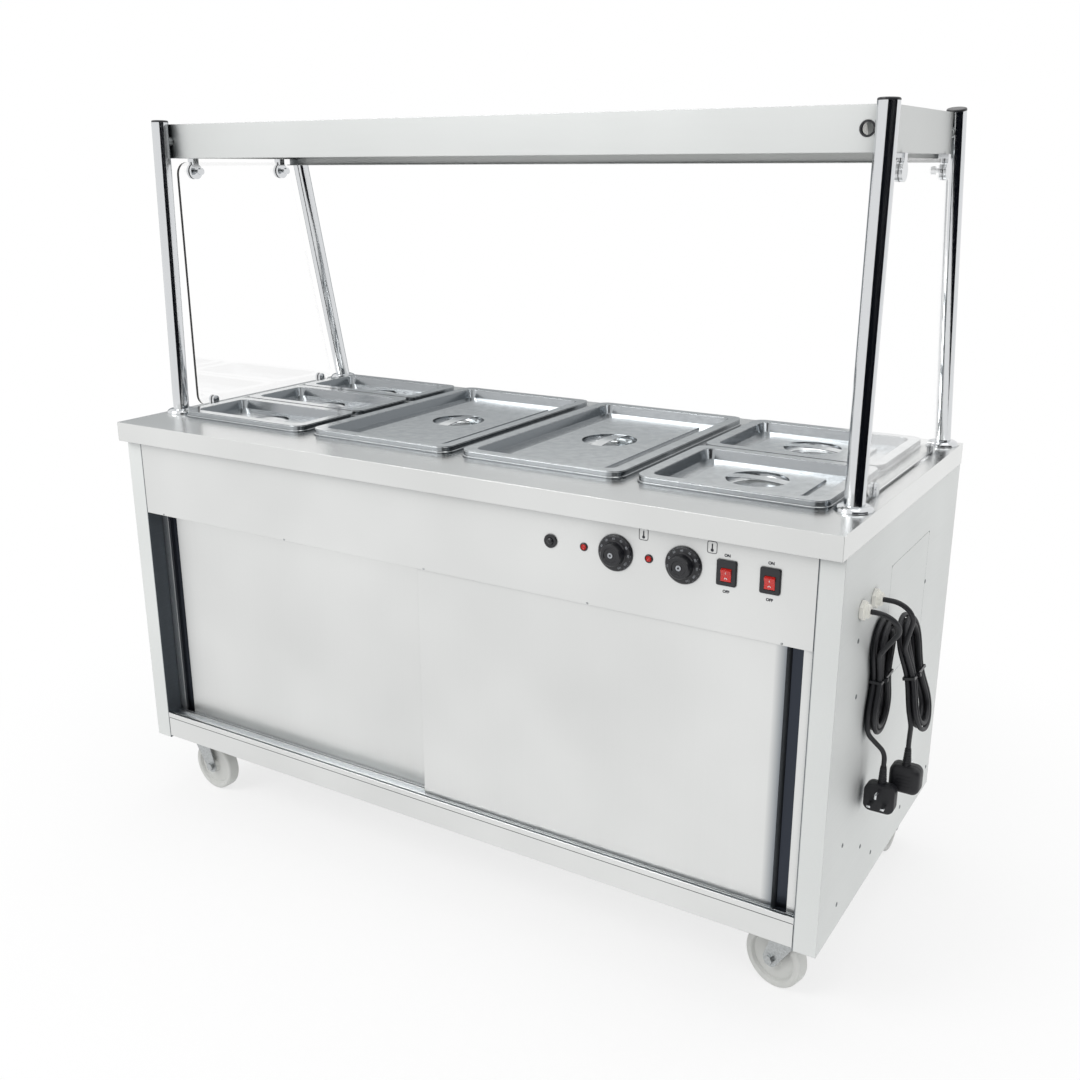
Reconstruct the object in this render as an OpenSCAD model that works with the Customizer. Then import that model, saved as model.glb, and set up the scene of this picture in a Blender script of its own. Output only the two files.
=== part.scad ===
// Mobile hot cupboard with sliding doors, a pan servery top and a lit gantry.
// Millimetres, +Z up, front towards -Y. The origin lies on the floor under the middle.

/* [Worktop] */
// Length of the worktop
worktop_l = 1500; // [1490:5:1600]
// Depth of the worktop from front to back
worktop_d = 685; // [680:1:740]
// Height of the worktop above the floor
worktop_z = 837; // [830:1:900]
// Height of the folded edge round the worktop
edge_h = 38; // [34:1:45]
// Width of the lip that turns in under the folded edge
edge_return = 28; // [24:1:29]
// Thickness of the steel sheet
sheet = 1.5; // [1.2:0.1:2]
// How far the worktop stands out over the front
overhang = 20; // [20:1:26]
// How far the worktop stands out over each side
side_reveal = 1; // [0.5:0.5:2]

/* [Cabinet] */
// Thickness of each double-skinned side
side_t = 39; // [37:1:43]
// Height of the fascia under the worktop
fascia_h = 150; // [145:1:155]
// Height of the plinth under the doors
plinth_h = 43; // [40:1:50]
// Height of the plinth's lower edge above the feet of the sides
plinth_lift = 5; // [3:1:8]
// Height of the middle shelf above the cupboard floor
shelf_rise = 225; // [150:5:300]
// Depth of the folds along the shelf's edges
shelf_fold = 22; // [15:1:30]
// Width of the angles that carry the shelf
runner_w = 20; // [14:1:26]
// Depth of the fascia's lower fold
fascia_fold = 8; // [5:1:9]
// Length of the removable cover on the right side, front to back
cover_l = 228; // [160:2:260]
// Height of the removable cover
cover_h = 210; // [160:2:240]
// Distance of the cover's front edge from the worktop's front edge
cover_front = 268; // [255:1:290]
// Distance of the cover's top edge below the worktop
cover_drop = 120; // [100:1:150]
// Gap round the cover
cover_gap = 0.6; // [0.4:0.1:1]

/* [Doors] */
// Thickness of a door
door_t = 14; // [13:0.5:15]
// Thickness of a door's skins
door_skin = 1.2; // [1:0.1:1.4]
// How far the front door is set back behind the cabinet front
door_set = 12; // [10:0.5:14]
// Distance between the front door and the rear door
door_gap = 9; // [7:0.5:11]
// Overlap of the doors in the middle when shut
door_overlap = 48; // [30:1:70]
// Width of the finger pull
pull_w = 26; // [20:1:34]
// Depth of the finger pull
pull_depth = 10; // [8:0.5:11]
// Width of the lip beside the finger pull
pull_lip = 17; // [12:1:22]
// Height of the bottom track
track_h = 11; // [9:1:14]
// Depth of the top track
top_track_h = 22; // [18:1:24]
// Thickness of the ribs of both tracks
rib_t = 2; // [1.5:0.1:2.4]
// Side play of a door in its groove
door_play = 0.5; // [0.3:0.1:0.8]

/* [Pans] */
// Length of a full size pan, front to back
gn_l = 530; // [520:1:535]
// Width of the worktop beside the pans at each end
end_strip = 64; // [60:0.5:68]
// Gap between the rims of neighbouring columns of pans
column_gap = 24; // [20:1:28]
// Gap between the rims of pans in one column
pan_gap = 1; // [0.8:0.1:2]
// Distance from the worktop's front edge to the pans
pan_front = 111.5; // [108:0.5:118]
// Depth of a pan
pan_depth = 100; // [65:5:110]
// Width of a pan's rim
rim_w = 11.5; // [10:0.5:13]
// Height of a pan's rolled rim
rim_h = 3; // [2.5:0.5:4]
// How far each rim rests on the worktop
rim_rest = 9; // [7:0.5:9.5]
// Outer corner radius of a rim
rim_r = 25; // [23:1:30]
// Thickness of the pans' steel
pan_t = 1; // [0.8:0.1:1.2]
// Thickness of the lids' steel
lid_t = 1.2; // [1:0.1:1.4]
// Height of a lid above the pan's rim
lid_h = 9; // [7:0.5:11]
// Width of a lid's flat rim
lid_rim = 19; // [16:0.5:22]
// Depth of a lid's recess
lid_recess = 18; // [15:0.5:20]
// Distance of the raised field from the lid's edge
field_inset = 63; // [55:1:70]
// Height of the raised field
field_h = 4; // [3:0.5:5]
// Width across a large lid's dish
dish_w = 104; // [90:1:112]
// Width across a small lid's dish
small_dish_w = 76; // [66:1:84]
// Depth of the dish
dish_depth = 14; // [11:0.5:16]
// Width of the handle strap
strap_w = 24; // [18:1:28]

/* [Well] */
// Depth of the heated well under the worktop
well_depth = 162; // [150:1:168]
// Room between the well and its outer casing
well_jacket = 14; // [10:1:18]
// Thickness of a heating rod
rod_d = 8; // [6:0.5:10]
// Height of the well's rods above its floor
rod_rise = 16; // [14:1:24]
// Distance of the outer rods from the well's walls
rod_inset = 60; // [50:1:70]
// Distance between the rods on the cupboard's floor
deck_rod_pitch = 30; // [26:1:36]
// Height of those rods above the cupboard's floor
deck_rod_rise = 18; // [14:1:24]

/* [Gantry] */
// Outer width of the gantry tubes
tube_d = 32; // [28:1:36]
// Wall of the gantry tubes
tube_wall = 1.5; // [1.2:0.1:2.5]
// Distance from the worktop's end to the middle of a tube
tube_inset = 32; // [31:0.5:36]
// Height of the tubes above the worktop without their caps
gantry_h = 574; // [550:1:620]
// Distance from the worktop's front edge to a front tube
front_foot = 140.5; // [130:0.5:150]
// How far a front tube leans back
front_lean = 12.5; // [6:0.5:20]
// Distance from the worktop's rear edge to a rear tube
rear_foot = 31; // [31:0.5:40]
// How far a rear tube leans forward
rear_lean = 124; // [110:1:140]
// Width across a tube's foot flange
flange_d = 60; // [54:1:60]
// Height of a foot flange
flange_h = 9; // [7:1:12]
// Height of a tube's end cap
cap_h = 4; // [3:0.5:6]

/* [Canopy] */
// Height of the canopy's lower edge above the worktop
canopy_lift = 507; // [495:1:520]
// Height of the canopy
canopy_h = 64; // [58:1:67]
// How far the canopy's rear wall hangs below its front wall
apron_h = 13; // [9:1:18]
// Clearance between the canopy and the tubes
canopy_gap = 0.5; // [0.4:0.1:1]
// Width of the canopy's turned-in edges
canopy_return = 25; // [22:1:30]
// Width of the cable hole in the canopy's front
cable_hole = 23; // [20:1:26]
// Distance of the cable hole from the canopy's end
cable_hole_inset = 32; // [30:1:45]
// Length of each heat lamp
lamp_l = 520; // [420:10:600]

/* [Glass ends] */
// Thickness of the glass
glass_t = 6; // [5:0.5:8]
// Height of the glass above the worktop
glass_lift = 4; // [3:0.5:6]
// Gap between the glass and the canopy
glass_top_gap = 7; // [6:0.5:9]
// Distance of the glass from the front tubes
glass_front_gap = 24; // [20:1:30]
// Distance of the glass from the rear tubes
glass_rear_gap = 25; // [22:1:30]
// Corner radius of the glass
glass_r = 25; // [15:1:35]
// Width of a lower clamp
clamp_w = 16; // [14:1:18]
// Height of a lower clamp
clamp_h = 22; // [18:1:26]
// Width across the discs of an upper clamp
disc_d = 30; // [26:1:32]
// Thickness of the jaws of all clamps
jaw_t = 5; // [4:0.5:6]

/* [Controls] */
// Distance of the controls' middle line below the worktop
control_drop = 91; // [88:1:94]
// Distance of the reset button from the worktop's right end
reset_inset = 488; // [480:1:500]
// Distances of the two indicator lamps from that end
neon_inset = [426, 310]; // [300:1:440]
// Distances of the two knobs from that end
knob_inset = [368.5, 251]; // [245:0.5:375]
// Distances of the two switches from that end
switch_inset = [180, 111]; // [105:1:190]
// Width across a knob's skirt
knob_d = 60; // [54:1:62]
// Width across a knob's grip
grip_d = 38; // [32:1:42]
// How far a knob stands out
knob_stand = 19.5; // [16:0.5:20]
// Thickness of a knob's spindle
spindle_d = 6; // [5:0.5:7]
// Width across the reset button's bezel
reset_d = 23; // [20:1:26]
// Travel of the reset button
reset_travel = 2.5; // [1.5:0.5:3]
// Width across an indicator lamp
neon_d = 14; // [12:1:16]
// Width of a switch frame
frame_w = 32; // [30:1:34]
// Height of a switch frame
frame_h = 40.5; // [38:0.5:43]
// Width of a rocker
rocker_w = 16.4; // [15:0.2:18]
// Height of a rocker's window
window_h = 22; // [20:0.5:24]
// Angle of a rocker to either side of the middle
rocker_tilt = 8; // [6:1:9]

/* [Castors] */
// Width across a wheel
wheel_d = 110; // [104:1:112]
// Width of a wheel's tread
wheel_w = 27; // [24:1:30]
// Height of a castor
castor_h = 137; // [136:1:142]
// Distance from the kingpin to the axle, along the floor
trail = 35; // [30:1:38]
// Distance of a kingpin from the worktop's end
castor_inset = 60; // [58:1:75]
// Distance between the kingpins, front to back
castor_span = 490; // [460:2:520]
// Thickness of an axle
axle_d = 10; // [8:1:12]
// Thickness of a kingpin
kingpin_d = 12; // [10:1:13]

/* [Cords] */
// Thickness of a mains lead
cord_d = 8; // [7.5:0.1:8]
// Width across the flats of a cord gland
gland_w = 28; // [24:1:30]
// How far a cord gland stands out
gland_stand = 14; // [12:1:16]
// Radius of a hank's outer fold
fold_r = 43; // [43:0.5:45]
// How much tighter each turn is than the one outside it
turn_step = 9.5; // [9.5:0.1:10]
// Distance between a hank's layers
layer_step = 8.8; // [8.8:0.2:9.4]
// How far a hank is drawn in at its tie
waist_draw = 13; // [8:1:13]
// Half the length of a hank's runs
half_run = 56; // [56:1:60]

/* [Fits] */
// Gap under and round pieces that lift, slide or rock
play = 0.3; // [0.2:0.05:0.4]
// Clearance of the pins and spindles that turn
running = 0.05; // [0.03:0.01:0.08]

/* [Hidden] */
$fn = 64;
e = 1;

// Main planes of the cabinet
half_l = worktop_l / 2;
half_d = worktop_d / 2;
under_top = worktop_z - sheet;
cab_x = half_l - side_reveal;
inner_x = cab_x - side_t;
cab_front = -half_d + overhang;
cab_back = half_d - sheet;
cab_top = worktop_z - edge_h;
cab_foot = castor_h;
plinth_z = cab_foot + plinth_lift;
deck_z = plinth_z + plinth_h;
fascia_z = cab_top - fascia_h;
rail_w = 70;
rail_t = 3;
rail_x = inner_x - rail_w;

// Pans, their openings and their bars. The pans' width follows the worktop's length: 325 mm here
columns = 4;
column_pitch = (worktop_l - 2 * end_strip + column_gap) / columns;
gn_w = column_pitch - column_gap;
opening_x = (columns * column_pitch - column_gap) / 2 - rim_rest;
pan_y0 = -half_d + pan_front;
pan_y1 = pan_y0 + gn_l;
opening_y0 = pan_y0 + rim_rest;
opening_y1 = pan_y1 - rim_rest;
opening_flange = 24;
ledge_t = 2;
bar_w = column_gap + 2 * rim_rest;
rim_z = worktop_z + play;
lid_z = rim_z + rim_h + play;
third_l = (gn_l - 2 * pan_gap) / 3;
half_pan_l = (gn_l - pan_gap) / 2;

// The heated well
well_x = opening_x + sheet + 6.5;
well_y0 = opening_y0 - sheet - 6.5;
well_y1 = opening_y1 + sheet + 6.5;
well_floor = under_top - well_depth;
jacket_x = well_x + well_jacket + sheet;
jacket_y0 = well_y0 - well_jacket - sheet;
jacket_y1 = well_y1 + well_jacket + sheet;
jacket_z = well_floor - 23.5;

// Doors and tracks
front_face = cab_front + door_set;
rear_face = front_face + door_t + door_gap;
door_w = (2 * inner_x - 2 * play + door_overlap) / 2;
track_base = 2;
door_z0 = deck_z + track_base + play;
glide_h = 2;
top_track_z = fascia_z + 1 + top_track_h;
lift_room = 8;
door_z1 = top_track_z - lift_room;
groove_edges = [front_face - door_play - rib_t, front_face + door_t + door_play,
    rear_face - door_play - rib_t, rear_face + door_t + door_play];
track_y0 = groove_edges[0];
track_y1 = groove_edges[3] + rib_t;

// Controls, from left to right
control_z = worktop_z - control_drop;
reset_x = half_l - reset_inset;
neon_x = [for (inset = neon_inset) half_l - inset];
knob_x = [for (inset = knob_inset) half_l - inset];
switch_x = [for (inset = switch_inset) half_l - inset];
bezel_t = 3;
window_drop = 3;
window_w = rocker_w + 2 * play;
rocker_r = window_h / 2 - play;
pivot_y = cab_front + 0.5;
pivot_d = 3;
plunger_d = 13;

// Gantry
tube_x = half_l - tube_inset;
front_y = -half_d + front_foot;
rear_y = half_d - rear_foot;
front_tilt = atan(front_lean / gantry_h);
rear_tilt = -atan(rear_lean / gantry_h);
function front_tube_y(h) = front_y + front_lean * h / gantry_h;
function rear_tube_y(h) = rear_y - rear_lean * h / gantry_h;
canopy_z0 = worktop_z + canopy_lift;
canopy_z1 = canopy_z0 + canopy_h;
canopy_top = canopy_lift + canopy_h;
canopy_y0 = front_tube_y(canopy_top) + tube_d / 2 / cos(front_tilt) + canopy_gap;
canopy_y1 = rear_tube_y(canopy_top) - tube_d / 2 / cos(rear_tilt) - canopy_gap;
bolt_z = canopy_z0 + canopy_h / 2;
bolt_d = 8;
cable_hole_x = tube_x - cable_hole_inset;

// Glass ends, as heights above the worktop
glass_h0 = glass_lift;
glass_h1 = canopy_lift - glass_top_gap;
glass_y0 = front_tube_y(0) + tube_d / 2 + glass_front_gap + 7;
glass_rear = tube_d / 2 / cos(rear_tilt) + glass_rear_gap;
clamp_y = [glass_y0 + 44, rear_tube_y(0) - glass_rear - 44];
disc_y = [glass_y0 + 43, rear_tube_y(glass_h1) - glass_rear - 25];
disc_h = glass_h1 - 18;

// Castors: place and trail direction of each
axle_z = wheel_d / 2;
castor_x = half_l - castor_inset;
castor_y = castor_span / 2;
castor_places = [[-castor_x, -castor_y], [castor_x, -castor_y], [-castor_x, castor_y],
    [castor_x, castor_y]];
castor_turns = [-3, 165, 90, 90];
plate_t = 3;
crown_top = castor_h - 10;
crown_z = crown_top - 10;
nut_h = 4.5;
leg_t = 2.5;
hub_w = wheel_w + 6;
leg_gap = hub_w / 2 + play;

// Glands on the right side, the hanks below them and the plugs: places and leans
gland_z = worktop_z - 146;
gland_y = [-226, -163.5];
gland_end = cab_x + gland_stand;
hank_a_place = [cab_x + 11, -120, 547];
hank_b_place = [cab_x + 52, -80, 548];
hank_a_lean = 0;
hank_b_lean = 13;
plug_a_top = [cab_x + 32, -140, 400];
plug_b_top = [cab_x + 61, -110, 427];
relief_h = 30;
plug_h = 48;
plug_w = 50;
plug_t = 26;

// Each lead's corners: out of the gland, back from the hank, down from the hank, up from the plug
lead_a_corners = [62, 18, 21, 24];
lead_b_corners = [54, 22, 12, 15];
bend_r = 4 * cord_d;
bend_steps = 5;
cord_sides = 8;
hank_sides = 6;
rings_a_loop = 24;
loops = 2;
start_loop = 0.0625;
end_loop = 2 * loops + 0.25;

// A box between two corners
module block(a, b) {
    translate(a) cube(b - a);
}

// A rounded rectangle about the origin
module rounded(w, l, r) {
    square([w - 2 * r, l], center = true);
    square([w, l - 2 * r], center = true);
    for (x = [-1, 1], y = [-1, 1])
        translate([x * (w / 2 - r), y * (l / 2 - r)]) circle(r);
}

module slab(w, l, r, t) {
    linear_extrude(t) rounded(w, l, r);
}

// Carries a profile round a rounded rectangle. The profile's x is its distance from the
// corners' middles, its y is its height.
module round_rectangle(w, l, r) {
    for (side = [0, 1]) mirror([side, 0, 0])
        translate([w / 2 - r, 0, 0]) rotate([90, 0, 0])
            linear_extrude(l - 2 * r, center = true) children();
    for (side = [0, 1]) mirror([0, side, 0])
        translate([0, l / 2 - r, 0]) rotate([90, 0, 90])
            linear_extrude(w - 2 * r, center = true) children();
    for (corner = [0 : 3]) {
        x = (corner == 0 || corner == 3) ? 1 : -1;
        y = corner < 2 ? 1 : -1;
        translate([x * (w / 2 - r), y * (l / 2 - r), 0]) rotate([0, 0, 90 * corner])
            rotate_extrude(angle = 90) children();
    }
}

function arc(x, y, r, a0, a1, n) =
    [for (i = [0 : n]) let (a = a0 + (a1 - a0) * i / n) [x + r * cos(a), y + r * sin(a)]];

// A cylinder along X or Y, centred on its middle
module rod_x(d, l) {
    rotate([0, 90, 0]) cylinder(d = d, h = l, center = true);
}

module rod_y(d, l) {
    rotate([90, 0, 0]) cylinder(d = d, h = l, center = true);
}

// ---- worktop, bars and well ----

module worktop() {
    color("gainsboro") {
        difference() {
            block([-half_l, -half_d, cab_top], [half_l, half_d, worktop_z]);
            block([-half_l + sheet, -half_d + sheet, cab_top + sheet],
                [half_l - sheet, half_d - sheet, under_top]);
            block([-half_l + edge_return, -half_d + edge_return, cab_top - e],
                [half_l - edge_return, half_d - edge_return, cab_top + sheet + e]);
            block([-opening_x, opening_y0, under_top - e], [opening_x, opening_y1, worktop_z + e]);
        }
        difference() {
            block([-opening_x - sheet, opening_y0 - sheet, worktop_z - opening_flange],
                [opening_x + sheet, opening_y1 + sheet, worktop_z]);
            block([-opening_x, opening_y0, worktop_z - opening_flange - e],
                [opening_x, opening_y1, worktop_z + e]);
        }
        for (i = [-1 : 1], end = [0, 1]) mirror([0, end, 0])
            translate([i * column_pitch, end == 0 ? opening_y0 : -opening_y1, 0])
                block([-bar_w / 2 + 3, 0, worktop_z - opening_flange],
                    [bar_w / 2 - 3, 10, worktop_z - opening_flange + ledge_t]);
    }
}

module pan_bars() {
    leg = opening_flange - ledge_t;
    color("silver") for (i = [-1 : 1]) translate([i * column_pitch, 0, 0])
        difference() {
            block([-bar_w / 2, opening_y0 + play, worktop_z - leg],
                [bar_w / 2, opening_y1 - play, worktop_z]);
            block([-bar_w / 2 + sheet, opening_y0 - e, worktop_z - leg - e],
                [bar_w / 2 - sheet, opening_y1 + e, under_top]);
        }
}

module well() {
    tank_rim = under_top - sheet;
    color("silver") {
        difference() {
            block([-jacket_x, jacket_y0, tank_rim], [jacket_x, jacket_y1, under_top]);
            block([-well_x, well_y0, tank_rim - e], [well_x, well_y1, under_top + e]);
        }
        difference() {
            block([-well_x - sheet, well_y0 - sheet, well_floor - sheet],
                [well_x + sheet, well_y1 + sheet, under_top]);
            block([-well_x, well_y0, well_floor], [well_x, well_y1, under_top + e]);
        }
        difference() {
            block([-jacket_x, jacket_y0, jacket_z], [jacket_x, jacket_y1, under_top]);
            block([-jacket_x + sheet, jacket_y0 + sheet, jacket_z + sheet],
                [jacket_x - sheet, jacket_y1 - sheet, under_top + e]);
            for (x = knob_x) translate([x, jacket_y0, jacket_z + 60]) rod_y(20, 8);
        }
    }
}

// A heating rod bent to and fro: legs along X, bends at the ends
module heating_coil(length, pitch, legs) {
    for (i = [0 : legs - 1]) translate([0, i * pitch, 0]) rod_x(rod_d, length);
    for (i = [0 : legs - 2]) translate([(i % 2 == 0 ? -1 : 1) * length / 2, (i + 0.5) * pitch, 0])
        rotate([0, 0, i % 2 == 0 ? 90 : -90])
            rotate_extrude(angle = 180) translate([pitch / 2, 0]) circle(d = rod_d, $fn = 24);
}

module heating_elements() {
    legs = 4;
    pitch = (well_y1 - well_y0 - 2 * rod_inset) / (legs - 1);
    length = 2 * well_x - pitch - rod_inset;
    rod_y0 = well_y0 + rod_inset;
    rod_z = well_floor + rod_rise;
    deck_rod_y0 = cab_back - 2 * deck_rod_pitch;
    deck_rod_z = deck_z + deck_rod_rise;
    foot = rod_d / 2;
    color("dimgray") {
        translate([0, rod_y0, rod_z]) heating_coil(length, pitch, legs);
        for (i = [0 : legs - 1], x = [-0.4, 0, 0.4]) translate([x * length, rod_y0 + i * pitch, 0])
            block([-foot, -rod_d, well_floor], [foot, rod_d, rod_z + foot / 4]);
        for (i = [0, legs - 1]) translate([(length / 2 + well_x) / 2, rod_y0 + i * pitch, rod_z])
            rod_x(rod_d, well_x - length / 2);
        translate([0, deck_rod_y0, deck_rod_z]) heating_coil(length, deck_rod_pitch, 2);
        for (i = [0, 1], x = [-0.4, 0, 0.4])
            translate([x * length, deck_rod_y0 + i * deck_rod_pitch, 0])
                block([-foot, -rod_d, deck_z], [foot, rod_d, deck_rod_z + foot / 4]);
        for (i = [0, 1])
            translate([(length / 2 + inner_x) / 2, deck_rod_y0 + i * deck_rod_pitch, deck_rod_z])
                rod_x(rod_d, inner_x - length / 2);
    }
}

// ---- cabinet ----

cover_y0 = -half_d + cover_front;
cover_y1 = cover_y0 + cover_l;
cover_z1 = worktop_z - cover_drop;
cover_z0 = cover_z1 - cover_h;
cover_seat = 12;

// The right-hand side as a folded double skin, open at the top inside the worktop
module side_box() {
    fold = 12;
    difference() {
        block([inner_x, cab_front, cab_foot], [cab_x, cab_back, cab_top]);
        block([inner_x + sheet, cab_front + sheet, cab_foot + sheet],
            [cab_x - sheet, cab_back - sheet, cab_top - sheet]);
        block([inner_x + fold, cab_front + fold, cab_top - sheet - e],
            [cab_x - fold, cab_back - fold, cab_top + e]);
    }
}

module left_side() {
    color("gainsboro") mirror([1, 0, 0]) side_box();
}

module right_side() {
    color("gainsboro") {
        difference() {
            side_box();
            block([cab_x - sheet - e, cover_y0, cover_z0], [cab_x + e, cover_y1, cover_z1]);
            for (y = gland_y) translate([cab_x, y, gland_z]) rod_x(16, 6);
        }
        difference() {
            block([cab_x - 2 * sheet, cover_y0 - cover_seat, cover_z0 - cover_seat],
                [cab_x - sheet, cover_y1 + cover_seat, cover_z1 + cover_seat]);
            block([cab_x - 3 * sheet, cover_y0 + cover_seat, cover_z0 + cover_seat],
                [cab_x, cover_y1 - cover_seat, cover_z1 - cover_seat]);
        }
    }
}

module access_cover() {
    corner = 6;
    color("gainsboro") translate([cab_x - sheet, (cover_y0 + cover_y1) / 2, (cover_z0 + cover_z1) / 2])
        rotate([90, 0, 90])
            slab(cover_l - 2 * cover_gap, cover_h - 2 * cover_gap, corner, sheet);
}

module back_panel() {
    slots = 12;
    slot_pitch = 40;
    slot_h = 50;
    slot_z = cab_top - 110;
    color("gainsboro") difference() {
        union() {
            block([-inner_x, cab_back - sheet, plinth_z], [inner_x, cab_back, cab_top]);
            block([-inner_x, cab_back - 20, cab_top - sheet], [inner_x, cab_back, cab_top]);
        }
        for (i = [0 : slots - 1]) translate([(i - (slots - 1) / 2) * slot_pitch, 0, 0]) {
            block([-3, cab_back - sheet - e, slot_z], [3, cab_back + e, slot_z + slot_h]);
            for (end = [0, 1]) translate([0, cab_back - sheet / 2, slot_z + end * slot_h])
                rod_y(6, sheet + 2 * e);
        }
    }
}

module base() {
    skirt_fold = 15;
    color("gainsboro") {
        block([-inner_x, cab_front, deck_z - sheet], [inner_x, cab_back - sheet, deck_z]);
        block([-inner_x, cab_front, plinth_z], [inner_x, cab_front + sheet, deck_z]);
        block([-inner_x, cab_front, plinth_z], [inner_x, cab_front + skirt_fold, plinth_z + sheet]);
        block([-inner_x, cab_back - 2 * sheet, plinth_z], [inner_x, cab_back - sheet, deck_z]);
        for (side = [0, 1]) mirror([side, 0, 0]) difference() {
            block([rail_x, cab_front + skirt_fold, cab_foot], [inner_x, cab_back - 2 * sheet, deck_z]);
            block([rail_x + rail_t, cab_front - e, cab_foot + rail_t],
                [inner_x - rail_t, cab_back, deck_z - sheet]);
        }
    }
}

module shelves() {
    shelf_z = deck_z + shelf_rise;
    y0 = track_y1 + 25;
    y1 = cab_back - sheet - 6;
    slots = 16;
    slot_pitch = 80;
    color("silver") {
        difference() {
            block([-inner_x + play, y0, shelf_z - shelf_fold], [inner_x - play, y1, shelf_z]);
            block([-inner_x - e, y0 + sheet, shelf_z - shelf_fold - e],
                [inner_x + e, y1 - sheet, shelf_z - sheet]);
            for (i = [0 : slots - 1], j = [0 : 2])
                translate([(i - (slots - 1) / 2) * slot_pitch, y0 + 100 + j * 180, shelf_z]) {
                    block([-5, -50, -sheet - e], [5, 50, e]);
                    for (end = [-50, 50]) translate([0, end, -sheet - e])
                        cylinder(d = 10, h = sheet + 2 * e);
                }
        }
        for (side = [0, 1]) mirror([side, 0, 0]) {
            block([inner_x - runner_w, y0 + 10, shelf_z - 2 * sheet], [inner_x, y1 - 10, shelf_z - sheet]);
            block([inner_x - sheet, y0 + 10, shelf_z - runner_w], [inner_x, y1 - 10, shelf_z - sheet]);
        }
    }
}

module fascia() {
    color("gainsboro") difference() {
        union() {
            block([-inner_x, cab_front, fascia_z], [inner_x, cab_front + sheet, cab_top]);
            block([-inner_x, cab_front, fascia_z], [inner_x, cab_front + fascia_fold, fascia_z + sheet]);
            block([-inner_x, cab_front, cab_top - sheet], [inner_x, cab_front + 20, cab_top]);
        }
        translate([0, cab_front, control_z]) {
            translate([reset_x, 0, 0]) rod_y(plunger_d + 5, 6);
            for (x = neon_x) translate([x, 0, 0]) rod_y(neon_d - 4, 6);
            for (x = knob_x) translate([x, 0, 0]) rod_y(spindle_d + 4, 6);
            for (x = switch_x) block([x - frame_w / 2 + 2.5, -e, -frame_h / 2 + 1.5],
                [x + frame_w / 2 - 2.5, 4, frame_h / 2 - 1.5]);
        }
    }
}

// Thermostats and terminals on a tray behind the fascia
module control_gear() {
    tray_z = top_track_z;
    body_y = cab_front + sheet;
    bore = spindle_d + 2 * running;
    color("slategray") {
        block([-inner_x, body_y, tray_z], [inner_x, jacket_y0, tray_z + sheet]);
        for (x = knob_x) difference() {
            union() {
                translate([x, body_y + 14, control_z]) rod_y(46, 28);
                block([x - 12, body_y + 8, tray_z], [x + 12, body_y + 26, control_z]);
            }
            translate([x, body_y + 10, control_z]) rod_y(bore, 40);
        }
        difference() {
            union() {
                translate([reset_x, body_y + 19, control_z]) rod_y(30, 22);
                block([reset_x - 8, body_y + 10, tray_z], [reset_x + 8, body_y + 28, control_z]);
            }
            translate([reset_x, body_y + 8, control_z]) rod_y(4, 20);
        }
        block([-60, body_y + 12, tray_z], [60, body_y + 40, tray_z + 28]);
        for (i = [-2 : 2]) translate([i * 22, body_y + 26, tray_z + 26]) cylinder(d = 8, h = 6);
    }
}

// Section of a door track: base and four ribs, in the plane of Y and Z
module track_section(base_z, rib_z0, rib_z1) {
    translate([track_y0, base_z]) square([track_y1 - track_y0, track_base]);
    for (y = groove_edges) translate([y, rib_z0]) square([rib_t, rib_z1 - rib_z0]);
}

module door_tracks() {
    color("darkgray") {
        rotate([90, 0, 90]) linear_extrude(2 * inner_x, center = true) {
            track_section(deck_z, deck_z, deck_z + track_h - 2);
            translate([cab_front, deck_z]) square([track_y0 - cab_front + e, track_base]);
            translate([cab_front, deck_z]) square([sheet, track_h]);
        }
        rotate([90, 0, 90]) linear_extrude(2 * inner_x, center = true)
            track_section(top_track_z - track_base, top_track_z - top_track_h, top_track_z);
    }
}

// ---- doors: x from the inner edge to the pull, y from the face backwards ----

module door_outline() {
    face = door_w - pull_lip - pull_w;
    slope = 6;
    polygon([[0, 0], [face, 0], [face + slope, pull_depth], [face + pull_w, pull_depth],
        [face + pull_w, 0], [door_w, 0], [door_w, door_t], [0, door_t]]);
}

module door_hollow() {
    face = door_w - pull_lip - pull_w;
    translate([door_skin, door_skin]) square([face - 2 * door_skin, door_t - 2 * door_skin]);
    translate([face + pull_w + door_skin, door_skin])
        square([pull_lip - 2 * door_skin, door_t - 2 * door_skin]);
}

module door() {
    difference() {
        translate([0, 0, door_z0 + glide_h])
            linear_extrude(door_z1 - door_z0 - glide_h) door_outline();
        translate([0, 0, door_z0 - e])
            linear_extrude(door_z1 - door_z0 + e - door_skin) door_hollow();
    }
    for (x = [30, door_w - pull_lip - pull_w - 70])
        block([x, door_skin, door_z0], [x + 40, door_t - door_skin, door_z0 + 15]);
}

module front_door() {
    color("gainsboro") translate([inner_x - play - door_w, front_face, 0]) door();
}

module rear_door() {
    color("gainsboro") mirror([1, 0, 0])
        translate([inner_x - play - door_w, rear_face, 0]) door();
}

// ---- controls ----

// Places a piece on the fascia: its +Z points out of the fascia
module on_fascia(x) {
    translate([x, cab_front, control_z]) rotate([90, 0, 0]) children();
}

module knob(x) {
    skirt_z = 0.6;
    color("black") on_fascia(x) {
        rotate_extrude() polygon([[0, skirt_z], [knob_d / 2, skirt_z], [knob_d / 2, 2.6],
            [knob_d / 2 - 2.5, 4.6], [grip_d / 2 + 1.5, 5], [grip_d / 2, 6.5],
            [grip_d / 2 - 1, knob_stand - 1.5], [grip_d / 2 - 2.5, knob_stand],
            [grip_d / 2 - 7, knob_stand], [grip_d / 2 - 8, knob_stand - 1.4],
            [5.5, knob_stand - 1.4], [5, knob_stand - 0.6], [0, knob_stand - 0.6]]);
        translate([0, 0, -26]) cylinder(d = spindle_d, h = 28);
    }
}

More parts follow.
